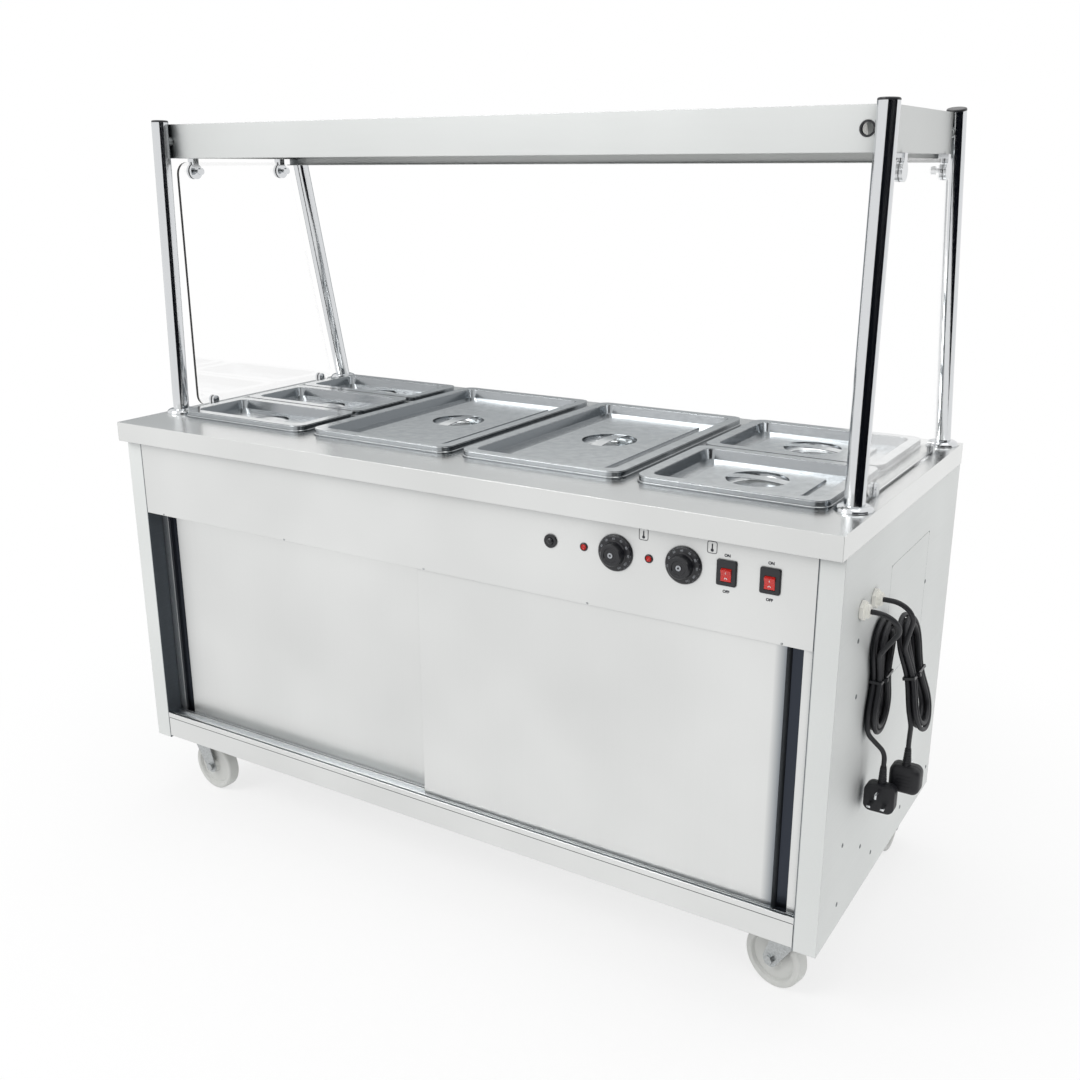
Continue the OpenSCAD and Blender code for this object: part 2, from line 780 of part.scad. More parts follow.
module reset_button() {
    color("black") on_fascia(reset_x) {
        rotate_extrude() polygon(concat([[0, -4]], [[plunger_d / 2, -4]],
            arc(0, -2.5, plunger_d / 2 + 2, 46, 90, 6)));
        translate([0, 0, -14]) cylinder(d = 3.4, h = 12);
    }
}

module neons() {
    color("red") for (x = neon_x) on_fascia(x) {
        cylinder(d = neon_d, h = 1.2);
        translate([0, 0, 1.2]) cylinder(d = neon_d - 2, h = 0.8);
        rotate_extrude() polygon(concat([[0, 0]], arc(0, -4, neon_d / 2 + 0.6, 50, 90, 6)));
        translate([0, 0, -18]) cylinder(d = neon_d - 4.4, h = 19);
    }
}

module switch_frames() {
    body_w = frame_w - 5.4;
    body_h = frame_h - 3.4;
    color("black") {
        for (x = switch_x) on_fascia(x) difference() {
            union() {
                slab(frame_w, frame_h, 3, bezel_t - 1);
                slab(frame_w - 2, frame_h - 2, 2.5, bezel_t);
                translate([0, 0, -24]) slab(body_w, body_h, 1, 25);
            }
            translate([0, -window_drop, 0])
                block([-window_w / 2, -window_h / 2, -14], [window_w / 2, window_h / 2, bezel_t + e]);
            translate([0, -window_drop, cab_front - pivot_y])
                rod_x(pivot_d + 2 * running, window_w + 4);
        }
        on_fascia(reset_x) difference() {
            union() {
                cylinder(d = reset_d, h = 2.5);
                translate([0, 0, -6]) cylinder(d = plunger_d + 4.6, h = 7);
            }
            translate([0, 0, -7]) cylinder(d = plunger_d + 0.2, h = 10);
        }
    }
}

// A rocker at rest with its lower half pressed in
module rocker(x) {
    front = 4;
    crest = 5.7;
    half = 9;
    color("red") translate([x, pivot_y, control_z - window_drop]) rotate([rocker_tilt, 0, 0]) {
        intersection() {
            rod_x(2 * rocker_r, rocker_w);
            rotate([90, 0, 90]) linear_extrude(rocker_w, center = true)
                polygon([[6, -rocker_r], [-1, -rocker_r], [-crest, -half], [-front, 0],
                    [-crest, half], [-1, rocker_r], [6, rocker_r]]);
        }
        rod_x(pivot_d, window_w + 3);
    }
}

// ---- gantry ----

// Places a piece at the foot of a tube, with +Z along the tube
module at_tube(y, tilt) {
    for (side = [-1, 1]) translate([side * tube_x, y, worktop_z]) rotate([-tilt, 0, 0]) children();
}

module at_tubes() {
    at_tube(front_y, front_tilt) children();
    at_tube(rear_y, rear_tilt) children();
}

front_tube_l = gantry_h / cos(front_tilt);
rear_tube_l = gantry_h / cos(rear_tilt);

module tube_body(y, tilt, length) {
    difference() {
        at_tube(y, tilt) difference() {
            translate([0, 0, -tube_d]) cylinder(d = tube_d, h = length + tube_d);
            translate([0, 0, -tube_d - e])
                cylinder(d = tube_d - 2 * tube_wall, h = length + tube_d + 2 * e);
        }
        block([-half_l, -half_d, worktop_z - 2 * tube_d], [half_l, half_d, worktop_z]);
    }
}

module gantry_tubes() {
    color("silver") {
        tube_body(front_y, front_tilt, front_tube_l);
        tube_body(rear_y, rear_tilt, rear_tube_l);
    }
}

module tube_flanges() {
    dome_r = flange_d / 2 - tube_d / 2 - 2;
    color("silver") difference() {
        for (side = [-1, 1], y = [front_y, rear_y]) translate([side * tube_x, y, worktop_z])
            rotate_extrude() polygon(concat([[0, 0], [flange_d / 2, 0], [flange_d / 2, 1.5]],
                [for (i = [0 : 6]) let (a = 15 * i)
                    [flange_d / 2 - 1 - dome_r * (1 - cos(a)), 1.5 + (flange_h - 1.5) * sin(a)]],
                [[0, flange_h]]));
        at_tubes() translate([0, 0, -tube_d])
            cylinder(d = tube_d + 2 * running, h = 3 * tube_d);
    }
}

module tube_cap(length) {
    plug_r = tube_d / 2 - tube_wall - running;
    translate([0, 0, length]) rotate_extrude() polygon(concat([[0, -14], [plug_r - 1, -14],
        [plug_r, -13], [plug_r, 0], [tube_d / 2, 0], [tube_d / 2, cap_h - 2]],
        [for (i = [1 : 6]) let (a = 15 * i)
            [tube_d / 2 - 3 + 3 * cos(a), cap_h - 2 + 2 * sin(a)]], [[0, cap_h]]));
}

module tube_caps() {
    color("black") {
        at_tube(front_y, front_tilt) tube_cap(front_tube_l);
        at_tube(rear_y, rear_tilt) tube_cap(rear_tube_l);
    }
}

module canopy() {
    apron_return = 10;
    color("gainsboro") difference() {
        union() {
            difference() {
                block([-tube_x, canopy_y0, canopy_z0], [tube_x, canopy_y1, canopy_z1]);
                block([-tube_x + sheet, canopy_y0 + sheet, canopy_z0 + sheet],
                    [tube_x - sheet, canopy_y1 - sheet, canopy_z1 - sheet]);
                block([-tube_x + canopy_return, canopy_y0 + canopy_return, canopy_z0 - e],
                    [tube_x - canopy_return, canopy_y1 - sheet, canopy_z0 + sheet + e]);
            }
            block([-tube_x, canopy_y1 - sheet, canopy_z0 - apron_h], [tube_x, canopy_y1, canopy_z1]);
            block([-tube_x, canopy_y1 - apron_return, canopy_z0 - apron_h],
                [tube_x, canopy_y1, canopy_z0 - apron_h + sheet]);
        }
        translate([cable_hole_x, canopy_y0, bolt_z]) rod_y(cable_hole, 8);
        for (side = [-1, 1], y = [canopy_y0, canopy_y1])
            translate([side * (tube_x - 12), y, bolt_z]) rod_y(bolt_d + 1, 6);
    }
}

// Two radiant lamps with their holders and folded reflectors, and the cable hole's grommet
module canopy_lamps() {
    lamp_z = canopy_z0 + 24;
    roof = canopy_z1 - sheet;
    mid_y = (canopy_y0 + canopy_y1) / 2;
    ridge_w = 60;
    grommet_w = cable_hole - 2 * play;
    color("whitesmoke") {
        for (side = [-1, 1]) translate([side * tube_x / 2, mid_y, 0]) {
            rotate([90, 0, 90]) linear_extrude(lamp_l, center = true)
                polygon([[-ridge_w, lamp_z - 8], [-ridge_w + sheet, lamp_z - 8],
                    [-ridge_w / 2 + sheet, roof - sheet], [ridge_w / 2 - sheet, roof - sheet],
                    [ridge_w - sheet, lamp_z - 8], [ridge_w, lamp_z - 8], [ridge_w / 2, roof],
                    [-ridge_w / 2, roof]]);
            for (end = [-1, 1]) translate([end * (lamp_l / 2 - 20), 0, 0])
                block([-10, -12, lamp_z - 10], [10, 12, roof]);
            translate([0, 0, lamp_z]) rod_x(12, lamp_l - 50);
        }
        translate([cable_hole_x, canopy_y0, bolt_z]) rotate([90, 0, 0]) difference() {
            union() {
                translate([0, 0, -sheet - 4]) cylinder(d = grommet_w, h = sheet + 4.8);
                translate([0, 0, -sheet - 4]) cylinder(d = cable_hole + 4, h = 3.8);
            }
            translate([0, 0, -sheet - 6]) cylinder(d = grommet_w - 5, h = sheet + 8);
        }
    }
}

// ---- glass ends ----

// Outline of the glass with y to the right and the height above the worktop upwards
module glass_outline() {
    r = glass_r;
    back0 = rear_tube_y(glass_h0) - glass_rear;
    back1 = rear_tube_y(glass_h1) - glass_rear;
    lean = atan((back0 - back1) / (glass_h1 - glass_h0));
    foot_cut = r * tan(45 + lean / 2);
    head_cut = r * tan(45 - lean / 2);
    polygon(concat(
        arc(glass_y0 + r, glass_h0 + r, r, 180, 270, 8),
        arc(back0 - foot_cut, glass_h0 + r, r, 270, 360 + lean, 10),
        arc(back1 - head_cut, glass_h1 - r, r, lean, 90, 8),
        arc(glass_y0 + r, glass_h1 - r, r, 90, 180, 8)));
}

module side_glass() {
    color([0.8, 0.9, 0.9, 0.35]) for (side = [-1, 1])
        translate([side * tube_x, 0, worktop_z]) rotate([90, 0, 90])
            linear_extrude(glass_t, center = true) glass_outline();
}

module lower_clamp() {
    jaw_w = glass_t + 2 * jaw_t;
    difference() {
        union() {
            block([-jaw_w / 2, -clamp_w / 2, 0], [jaw_w / 2, clamp_w / 2, clamp_h - clamp_w / 2]);
            translate([0, 0, clamp_h - clamp_w / 2]) rod_x(clamp_w, jaw_w);
        }
        block([-glass_t / 2, -clamp_w, glass_lift], [glass_t / 2, clamp_w, clamp_h + e]);
    }
    translate([-jaw_w / 2 - 2, 0, clamp_h - clamp_w / 2]) rod_x(8, 4);
}

module upper_clamp() {
    reach = canopy_lift - disc_h;
    stem_w = 14;
    for (side = [-1, 1]) {
        translate([side * (glass_t + jaw_t) / 2, 0, 0]) rod_x(disc_d, jaw_t);
        translate([side * (glass_t + jaw_t) / 2, 0, reach / 2])
            cube([jaw_t, stem_w, reach], center = true);
    }
    block([-glass_t / 2 - jaw_t, -stem_w / 2, reach - glass_top_gap + play],
        [glass_t / 2 + jaw_t, stem_w / 2, reach]);
    translate([-glass_t / 2 - jaw_t - 6, 0, 0]) rod_x(7, 12);
    translate([-glass_t / 2 - jaw_t - 12, 0, 0]) rod_x(13, 6);
}

module glass_clamps() {
    color("silver") for (side = [0, 1]) mirror([side, 0, 0]) {
        for (y = clamp_y) translate([tube_x, y, worktop_z]) lower_clamp();
        for (y = disc_y) translate([tube_x - glass_t / 2 - jaw_t, y, worktop_z + disc_h])
            translate([glass_t / 2 + jaw_t, 0, 0]) upper_clamp();
    }
}

// ---- fasteners ----

side_screws = [[156, 622], [-231, 642.5], [-218, 545.5], [190, 226], [-224, 288], [-119, 231]];
foot_screws = [-230, -48.5, 133, 317];
foot_screw_rise = 45;
fascia_screws = [for (i = [-2 : 2]) i * (inner_x - 48) / 2];

// A low domed head that sits on a face, +Z outwards
module screw_head(d, h) {
    rotate_extrude() polygon(concat([[0, 0]],
        [for (i = [0 : 5]) let (a = 18 * i) [d / 2 * cos(a), h * sin(a)]]));
}

module panel_screws() {
    color("darkgray") {
        for (side = [0, 1]) mirror([side, 0, 0]) {
            for (p = side_screws) if (p[1] < cover_z0 || p[1] > cover_z1 || p[0] < cover_y0 || p[0] > cover_y1)
                translate([cab_x, p[0], p[1]]) rotate([0, 90, 0]) screw_head(8, side_reveal);
            for (y = foot_screws)
                translate([cab_x, y, cab_foot + foot_screw_rise]) rotate([0, 90, 0])
                    screw_head(8, side_reveal);
        }
        for (x = fascia_screws) translate([x, cab_front, fascia_z + 2.5])
            rotate([90, 0, 0]) screw_head(5, 1.2);
        for (side = [-1, 1]) translate([side * (tube_x - 12), 0, bolt_z]) {
            canopy_bolt(canopy_y0, -1, side * 12, front_y, front_tilt);
            canopy_bolt(canopy_y1, 1, side * 12, rear_y, rear_tilt);
        }
    }
}

// A bolt from inside the canopy into a tube, with a spacer cut to the tube
module canopy_bolt(wall_y, out, tube_dx, foot_y, tilt) {
    difference() {
        union() {
            translate([0, wall_y - out * (sheet + 3), 0]) rotate([90, 0, 0])
                cylinder(d = 13, h = 6, $fn = 6, center = true);
            translate([0, wall_y, 0]) rod_y(bolt_d, 2 * sheet + 4);
            translate([tube_dx / 2, wall_y + out * 8, 0]) rod_y(18, 16);
        }
        translate([tube_dx, foot_y, worktop_z - bolt_z]) rotate([-tilt, 0, 0])
            cylinder(d = tube_d + 2 * running, h = gantry_h + 50);
        block([-20, wall_y - out * sheet / 2 - sheet / 2, 8], [20, wall_y - out * sheet / 2 + sheet / 2, 20]);
    }
}

// ---- castors ----

module castor_plates() {
    plate_x = 100;
    plate_y = 85;
    color("darkgray") for (p = castor_places) translate([p[0], p[1], 0]) {
        difference() {
            translate([0, 0, castor_h - plate_t]) slab(plate_x, plate_y, 8, plate_t);
            for (x = [-1, 1], y = [-1, 1])
                translate([x * (plate_x / 2 - 12), y * (plate_y / 2 - 12), castor_h - plate_t - e])
                    cylinder(d = 8.5, h = plate_t + 2 * e);
        }
        rotate_extrude() polygon([[0, crown_top + play], [24, crown_top + play],
            [29, castor_h - plate_t], [0, castor_h - plate_t]]);
        translate([0, 0, crown_z - play]) cylinder(d = kingpin_d, h = castor_h - plate_t - crown_z);
        translate([0, 0, crown_z - play - nut_h]) cylinder(d = 20, h = nut_h, $fn = 6);
    }
}

// A castor's parts lie with their trail along +X before they are turned
module at_castor(i) {
    translate(castor_places[i]) rotate([0, 0, castor_turns[i]]) children();
}

module fork(i) {
    crown_d = 58;
    boss_r = 14;
    color("darkgray") at_castor(i) difference() {
        union() {
            translate([0, 0, crown_z]) cylinder(d = crown_d, h = crown_top - crown_z);
            for (side = [-1, 1]) translate([0, side * (leg_gap + leg_t / 2), 0]) rotate([90, 0, 0])
                linear_extrude(leg_t, center = true) {
                    polygon([[-19, crown_top], [-19, crown_top - 14], [trail - 12.5, axle_z - 6],
                        [trail + 13.5, axle_z + 3], [30, crown_top - 12], [22, crown_top]]);
                    translate([trail, axle_z]) circle(boss_r);
                }
            translate([trail, 0, axle_z]) {
                rod_y(axle_d, 2 * (leg_gap + leg_t));
                for (side = [-1, 1]) translate([0, side * (leg_gap + leg_t + 3), 0])
                    rotate([90, 0, 0]) cylinder(d = 17, h = 6, $fn = 6, center = true);
            }
        }
        translate([0, 0, crown_z - e])
            cylinder(d = kingpin_d + 2 * running, h = crown_top - crown_z + 2 * e);
    }
}

module wheel(i) {
    hub_r = 16;
    rim_in = wheel_d / 2 - 12;
    web = 7;
    bore_r = axle_d / 2 + running;
    shoulder = 5;
    half = wheel_w / 2;
    outer = wheel_d / 2;
    color("whitesmoke") at_castor(i) translate([trail, 0, axle_z]) rotate([90, 0, 0])
        rotate_extrude() polygon(concat(
            [[bore_r, -hub_w / 2], [hub_r - 2, -hub_w / 2], [hub_r, -web - 1], [rim_in - 3, -web],
                [rim_in, -half + 1], [rim_in + 2, -half]],
            arc(outer - shoulder, -half + shoulder, shoulder, -90, 0, 4),
            arc(outer - shoulder, half - shoulder, shoulder, 0, 90, 4),
            [[rim_in + 2, half], [rim_in, half - 1], [rim_in - 3, web], [hub_r, web + 1],
                [hub_r - 2, hub_w / 2], [bore_r, hub_w / 2]]));
}

// ---- pans and lids, about the middle of the rim, z = 0 under the rim ----

module pan_body(w, l) {
    wall_x = rim_r - rim_w;
    taper = 2;
    bend = 8;
    floor_z = rim_h - pan_depth;
    color("silver") {
        round_rectangle(w, l, rim_r) polygon(concat(
            [[rim_r, 0], [rim_r, rim_h - 0.8], [rim_r - 0.8, rim_h], [wall_x - pan_t + 1, rim_h],
                [wall_x - pan_t, rim_h - 1]],
            arc(wall_x - pan_t - taper - bend, floor_z + pan_t + bend, bend, 0, -90, 4),
            [[wall_x - pan_t - taper - bend, floor_z]],
            arc(wall_x - pan_t - taper - bend, floor_z + pan_t + bend, bend + pan_t, -90, 0, 4),
            [[wall_x, rim_h - pan_t - 1], [wall_x + 1, rim_h - pan_t],
                [rim_r - pan_t, rim_h - pan_t], [rim_r - pan_t, 0]]));
        inset = 2 * (rim_w + pan_t + taper + bend);
        translate([0, 0, floor_z])
            slab(w - inset, l - inset, wall_x - pan_t - taper - bend, pan_t);
    }
}

// Bowl of a lid's dish below the field, and the strap across it
module dish(width, top_z, strap_turn) {
    r = width / 2;
    color("silver") {
        translate([0, 0, top_z]) rotate_extrude() polygon(concat([[0, -dish_depth]],
            [for (i = [0 : 6]) let (a = 15 * i)
                [r - 10 + 10 * sin(a), -dish_depth * cos(a)]],
            [[r + 3, 0], [r + 3, -lid_t], [r + lid_t, -lid_t]],
            [for (i = [5 : -1 : 0]) let (a = 15 * i)
                [r - 10 + (10 + lid_t) * sin(a), -(dish_depth + lid_t) * cos(a)]],
            [[0, -dish_depth - lid_t]]));
        rise = 3;
        span = r + 1;
        arch_r = (span * span + rise * rise) / (2 * rise);
        half_a = asin(span / arch_r);
        rotate([0, 0, strap_turn]) rotate([90, 0, 0]) linear_extrude(strap_w, center = true)
            translate([0, top_z + rise - arch_r])
                polygon(concat(arc(0, 0, arch_r, 90 - half_a, 90 + half_a, 8),
                    arc(0, 0, arch_r - lid_t, 90 + half_a, 90 - half_a, 8)));
    }
}

module lid_body(w, l, dish_width, with_field, strap_turn) {
    edge_r = rim_r - 2;
    ww = w - 4;
    ll = l - 4;
    wall_r = 18;
    slope = 5;
    floor_z = lid_h - lid_recess;
    rim_under = lid_h - lid_t;
    field_w = ww - 2 * field_inset;
    field_l = ll - 2 * field_inset;
    field_r = 14;
    top_z = with_field ? floor_z + field_h : floor_z;
    inner = 2 * (lid_rim + slope);
    color("silver") {
        difference() {
            translate([0, 0, rim_under]) slab(ww, ll, edge_r, lid_t);
            translate([0, 0, rim_under - e])
                slab(ww - 2 * lid_rim - 0.4, ll - 2 * lid_rim - 0.4, wall_r - 0.2, lid_t + 2 * e);
        }
        round_rectangle(ww, ll, edge_r)
            polygon([[edge_r, 0], [edge_r, lid_h - 2], [edge_r - 2, lid_h],
                [edge_r - 4, lid_h], [edge_r - 4, rim_under], [edge_r - 2.6, rim_under],
                [edge_r - lid_t, rim_under - 1.4], [edge_r - lid_t, 0]]);
        round_rectangle(ww - 2 * lid_rim, ll - 2 * lid_rim, wall_r)
            polygon([[wall_r + 1.4, lid_h], [wall_r - 0.6, lid_h - 1], [wall_r - slope, floor_z],
                [wall_r - slope - 1, floor_z], [wall_r - slope - 1, floor_z - lid_t],
                [wall_r - slope + 0.8, floor_z - lid_t], [wall_r + 0.6, lid_h - 1.8],
                [wall_r + 1.4, rim_under]]);
        difference() {
            union() {
                translate([0, 0, floor_z - lid_t])
                    slab(ww - inner - 1, ll - inner - 1, wall_r - slope - 0.5, lid_t);
                if (with_field) translate([0, 0, top_z - lid_t])
                    slab(field_w, field_l, field_r, lid_t);
            }
            if (with_field) translate([0, 0, floor_z - lid_t - e])
                slab(field_w - 1, field_l - 1, field_r - 0.5, lid_t + e);
            translate([0, 0, floor_z - lid_t - 2 * e])
                cylinder(r = dish_width / 2 + 1, h = field_h + lid_t + 4 * e);
        }
        if (with_field) round_rectangle(field_w, field_l, field_r)
            polygon([[field_r + 1.2, floor_z], [field_r - 1, top_z], [field_r - 2, top_z],
                [field_r - 2, top_z - lid_t], [field_r - 1.4, top_z - lid_t],
                [field_r - 0.5, floor_z - lid_t], [field_r + 1.2, floor_z - lid_t]]);
    }
    dish(dish_width, top_z, strap_turn);
}

// Middle of each column, and of each pan in its column
function column_x(i) = (i - (columns - 1) / 2) * column_pitch;
function third_y(j) = pan_y0 + third_l / 2 + j * (third_l + pan_gap);
function half_pan_y(j) = pan_y0 + half_pan_l / 2 + j * (half_pan_l + pan_gap);
full_y = (pan_y0 + pan_y1) / 2;

module third_pan(j) {
    translate([column_x(0), third_y(j), rim_z]) pan_body(gn_w, third_l);
}

module third_lid(j) {
    translate([column_x(0), third_y(j), lid_z]) lid_body(gn_w, third_l, small_dish_w, false, 0);
}

module full_pan(i) {
    translate([column_x(i), full_y, rim_z]) pan_body(gn_w, gn_l);
}

module full_lid(i) {
    translate([column_x(i), full_y, lid_z]) lid_body(gn_w, gn_l, dish_w, true, 90);
}

module half_pan(j) {
    translate([column_x(3), half_pan_y(j), rim_z]) pan_body(gn_w, half_pan_l);
}

module half_lid(j) {
    translate([column_x(3), half_pan_y(j), lid_z]) lid_body(gn_w, half_pan_l, dish_w, true, 0);
}

// ---- cords ----

function unit(v) = v / norm(v);
function tangent(p, i) = unit(p[min(i + 1, len(p) - 1)] - p[max(i - 1, 0)]);

// A closed tube along points. Each ring is turned from the direction ref, which no part of the
// route follows.
module tube(p, d, sides, ref) {
    n = len(p);
    rings = [for (i = [0 : n - 1]) let (t = tangent(p, i), a = unit(ref - (ref * t) * t), b = cross(t, a))
        for (j = [0 : sides - 1]) let (w = 360 * j / sides)
            p[i] + d / 2 * (cos(w) * a + sin(w) * b)];
    walls = [for (i = [0 : n - 2], j = [0 : sides - 1]) let (k = (j + 1) % sides)
        each [[i * sides + j, (i + 1) * sides + j, i * sides + k],
            [i * sides + k, (i + 1) * sides + j, (i + 1) * sides + k]]];
    first = [for (j = [1 : sides - 2]) [0, j, j + 1]];
    last = [for (j = [1 : sides - 2]) let (m = (n - 1) * sides) [m, m + j + 1, m + j]];
    polyhedron(rings, concat(first, walls, last));
}

// Fold radius after t loops: inwards through the first layer, outwards through the second
function fold(t) = t < loops ? fold_r - turn_step * t :
    fold_r - turn_step * (t < loops + 0.25 ? loops : end_loop - t);
// Layer after t loops: it changes along the run in which the spiral turns round
function layer(t) = layer_step / 2 * (t < loops ? 1 : t > loops + 0.25 ? -1 : cos(720 * (t - loops)));
function drawn_in(v) = waist_draw * (1 + cos(180 * v / half_run)) / 2;

// Place in the hank's own frame after t loops: across its turns, through its layers, up its runs
function hank_point(t) =
    let (r = fold(t), w = layer(t), q = 4 * (t - floor(t)), k = floor(q), a = 180 * (q - k),
        v = half_run * (1 - 2 * (q - k)))
    k == 0 ? [drawn_in(v) - r, w, v] :
    k == 1 ? [-r * cos(a), w, -half_run - r * sin(a)] :
    k == 2 ? [r - drawn_in(v), w, -v] :
    [r * cos(a), w, half_run + r * sin(a)];

hank_path = concat([hank_point(start_loop)],
    [for (i = [ceil(start_loop * rings_a_loop + 0.1) : end_loop * rings_a_loop - 1])
        hank_point(i / rings_a_loop)],
    [[-fold_r, -layer_step / 2, -half_run]]);
hank_last = len(hank_path) - 1;
hank_points = concat([hank_path[0] + cord_d * unit(hank_path[0] - hank_path[1])], hank_path,
    [hank_path[hank_last] - [0, 0, cord_d]]);

// Least distance between the hank's cord and its own next turns
hank_gap = min([for (i = [0 : hank_last], j = [i + 6 : 1 : hank_last])
    norm(hank_path[i] - hank_path[j]) - cord_d]);

// The hank's frame leans about Y: its layers lie towards +X, its runs upwards
function hank_at(place, lean, q) = place + [q[1] * cos(lean) - q[2] * sin(lean), q[0],
    q[1] * sin(lean) + q[2] * cos(lean)];

module hank(place, lean) {
    echo(hank_gap = hank_gap);
    color([0.1, 0.1, 0.12]) tube([for (q = hank_points) hank_at(place, lean, q)], cord_d,
        hank_sides, hank_at([0, 0, 0], lean, [0, 1, 0]));
}

// A route through corners, each rounded to the lead's bend radius
function bent(c) = concat([c[0]],
    [for (i = [1 : len(c) - 2])
        let (a = unit(c[i] - c[i - 1]), b = unit(c[i + 1] - c[i]), turn = acos(a * b),
            m = unit(b - (a * b) * a), middle = c[i] + bend_r * (m - tan(turn / 2) * a))
            each [for (k = [0 : bend_steps]) let (w = turn * k / bend_steps)
                middle + bend_r * (sin(w) * a - cos(w) * m)]],
    [c[len(c) - 1]]);

// The lead from its gland to its hank, and its tail from the hank to its plug
module lead(y, corners, place, lean, plug_top) {
    gland = [gland_end, y, gland_z];
    first = hank_at(place, lean, hank_points[0]);
    enter = unit(hank_at(place, lean, hank_points[1]) - first);
    last = hank_at(place, lean, hank_points[len(hank_points) - 1]);
    leave = hank_at([0, 0, 0], lean, [0, 0, -1]);
    color([0.1, 0.1, 0.12]) {
        tube(bent([gland, gland + [corners[0], 0, 0], first - corners[1] * enter, first]),
            cord_d, cord_sides, [0, 1, 0]);
        tube(bent([last, last + corners[2] * leave, plug_top + [0, 0, corners[3]], plug_top]),
            cord_d, cord_sides, [0, 1, 0]);
    }
}

module cord_glands() {
    nut_t = 6;
    color("whitesmoke") for (y = gland_y) translate([cab_x, y, gland_z]) rotate([0, 90, 0]) {
        cylinder(d = gland_w / cos(30), h = nut_t, $fn = 6);
        translate([0, 0, nut_t]) cylinder(d = gland_w - 6, h = gland_stand - nut_t - 2);
        translate([0, 0, gland_stand - 2]) cylinder(d = gland_w - 10, h = 2);
        translate([0, 0, -10]) cylinder(d = 15.6, h = 11);
        translate([0, 0, -sheet - 5]) cylinder(d = 24, h = 5, $fn = 6);
    }
}

// A band round a hank's waist with its lock
module cord_tie(place, lean) {
    left = fold(start_loop) - waist_draw + cord_d / 2 + play;
    right = fold(0.5) - waist_draw + cord_d / 2 + play;
    half_t = layer_step / 2 + cord_d / 2 + play;
    band = 1.2;
    translate(place) rotate([0, -lean, 0]) {
        difference() {
            block([-half_t - band, -left - band, -2.3], [half_t + band, right + band, 2.3]);
            block([-half_t, -left, -3], [half_t, right, 3]);
        }
        translate([half_t + band + 1.5, -left * 0.4, 0]) cube([5, 6, 5.6], center = true);
    }
}

module cord_ties() {
    color("black") {
        cord_tie(hank_a_place, hank_a_lean);
        cord_tie(hank_b_place, hank_b_lean);
    }
}

// A three-pin plug hanging from its cord, pins towards -Y; z = 0 where the cord enters
module plug() {
    translate([0, 0, -relief_h]) cylinder(d1 = 14, d2 = cord_d + 2.5, h = relief_h);
    translate([0, -plug_t / 2, -relief_h - plug_h / 2]) rotate([-90, 0, 0]) {
        slab(plug_w, plug_h, 12, plug_t - 4);
        translate([0, 0, plug_t - 4]) slab(plug_w - 10, plug_h - 10, 9, 4);
    }
    for (x = [-11, 11]) translate([x, -plug_t / 2 - 9, -relief_h - plug_h / 2 - 8])
        cube([6.3, 18, 4], center = true);
    translate([0, -plug_t / 2 - 11.5, -relief_h - plug_h / 2 + 14]) cube([4, 23, 8], center = true);
}

module plugs() {
    color([0.1, 0.1, 0.12]) {
        translate(plug_a_top) plug();
        translate(plug_b_top) rotate([0, 0, 180]) plug();
    }
}

worktop();
pan_bars();
well();
heating_elements();
left_side();
right_side();
back_panel();
base();
shelves();
fascia();
control_gear();
door_tracks();
gantry_tubes();
tube_flanges();
tube_caps();
canopy();
canopy_lamps();
side_glass();
glass_clamps();
panel_screws();
access_cover();
neons();
switch_frames();
castor_plates();
cord_glands();
lead(gland_y[0], lead_a_corners, hank_a_place, hank_a_lean, plug_a_top);  // lead_a
hank(hank_a_place, hank_a_lean);  // hank_a
lead(gland_y[1], lead_b_corners, hank_b_place, hank_b_lean, plug_b_top);  // lead_b
hank(hank_b_place, hank_b_lean);  // hank_b
cord_ties();
plugs();
front_door();
rear_door();
knob(knob_x[0]);  // knob_top
knob(knob_x[1]);  // knob_bottom
rocker(switch_x[0]);  // rocker_main
rocker(switch_x[1]);  // rocker_lights
reset_button();
fork(0);  // fork_front_left
fork(1);  // fork_front_right
fork(2);  // fork_rear_left
fork(3);  // fork_rear_right
wheel(0);  // wheel_front_left
wheel(1);  // wheel_front_right
wheel(2);  // wheel_rear_left
wheel(3);  // wheel_rear_right
third_pan(0);  // pan_third_front
third_pan(1);  // pan_third_middle
third_pan(2);  // pan_third_rear
full_pan(1);  // pan_full_left
full_pan(2);  // pan_full_right
half_pan(0);  // pan_half_front
half_pan(1);  // pan_half_rear
third_lid(0);  // lid_third_front
third_lid(1);  // lid_third_middle
third_lid(2);  // lid_third_rear
full_lid(1);  // lid_full_left
full_lid(2);  // lid_full_right
half_lid(0);  // lid_half_front
half_lid(1);  // lid_half_rear
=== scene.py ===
"""The looks of a mobile hot cupboard: steel cabinet, servery top, gantry and two mains leads."""

import math

import bmesh
import bpy
from mathutils import Matrix, Vector


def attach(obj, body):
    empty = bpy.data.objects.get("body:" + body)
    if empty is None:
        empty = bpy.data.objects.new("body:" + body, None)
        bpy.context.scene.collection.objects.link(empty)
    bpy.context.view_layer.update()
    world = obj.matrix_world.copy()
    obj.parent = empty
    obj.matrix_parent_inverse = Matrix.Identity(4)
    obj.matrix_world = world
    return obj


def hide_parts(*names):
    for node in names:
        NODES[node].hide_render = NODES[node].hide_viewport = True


bl_info = {
    "name": "Hot Cupboard Finish",
    "version": (1, 0, 0),
    "blender": (4, 5, 0),
    "location": "View3D > Sidebar > Hot Cupboard",
    "description": "Dresses a mobile hot cupboard with its steel, glass, controls and mains leads",
    "category": "Object",
}

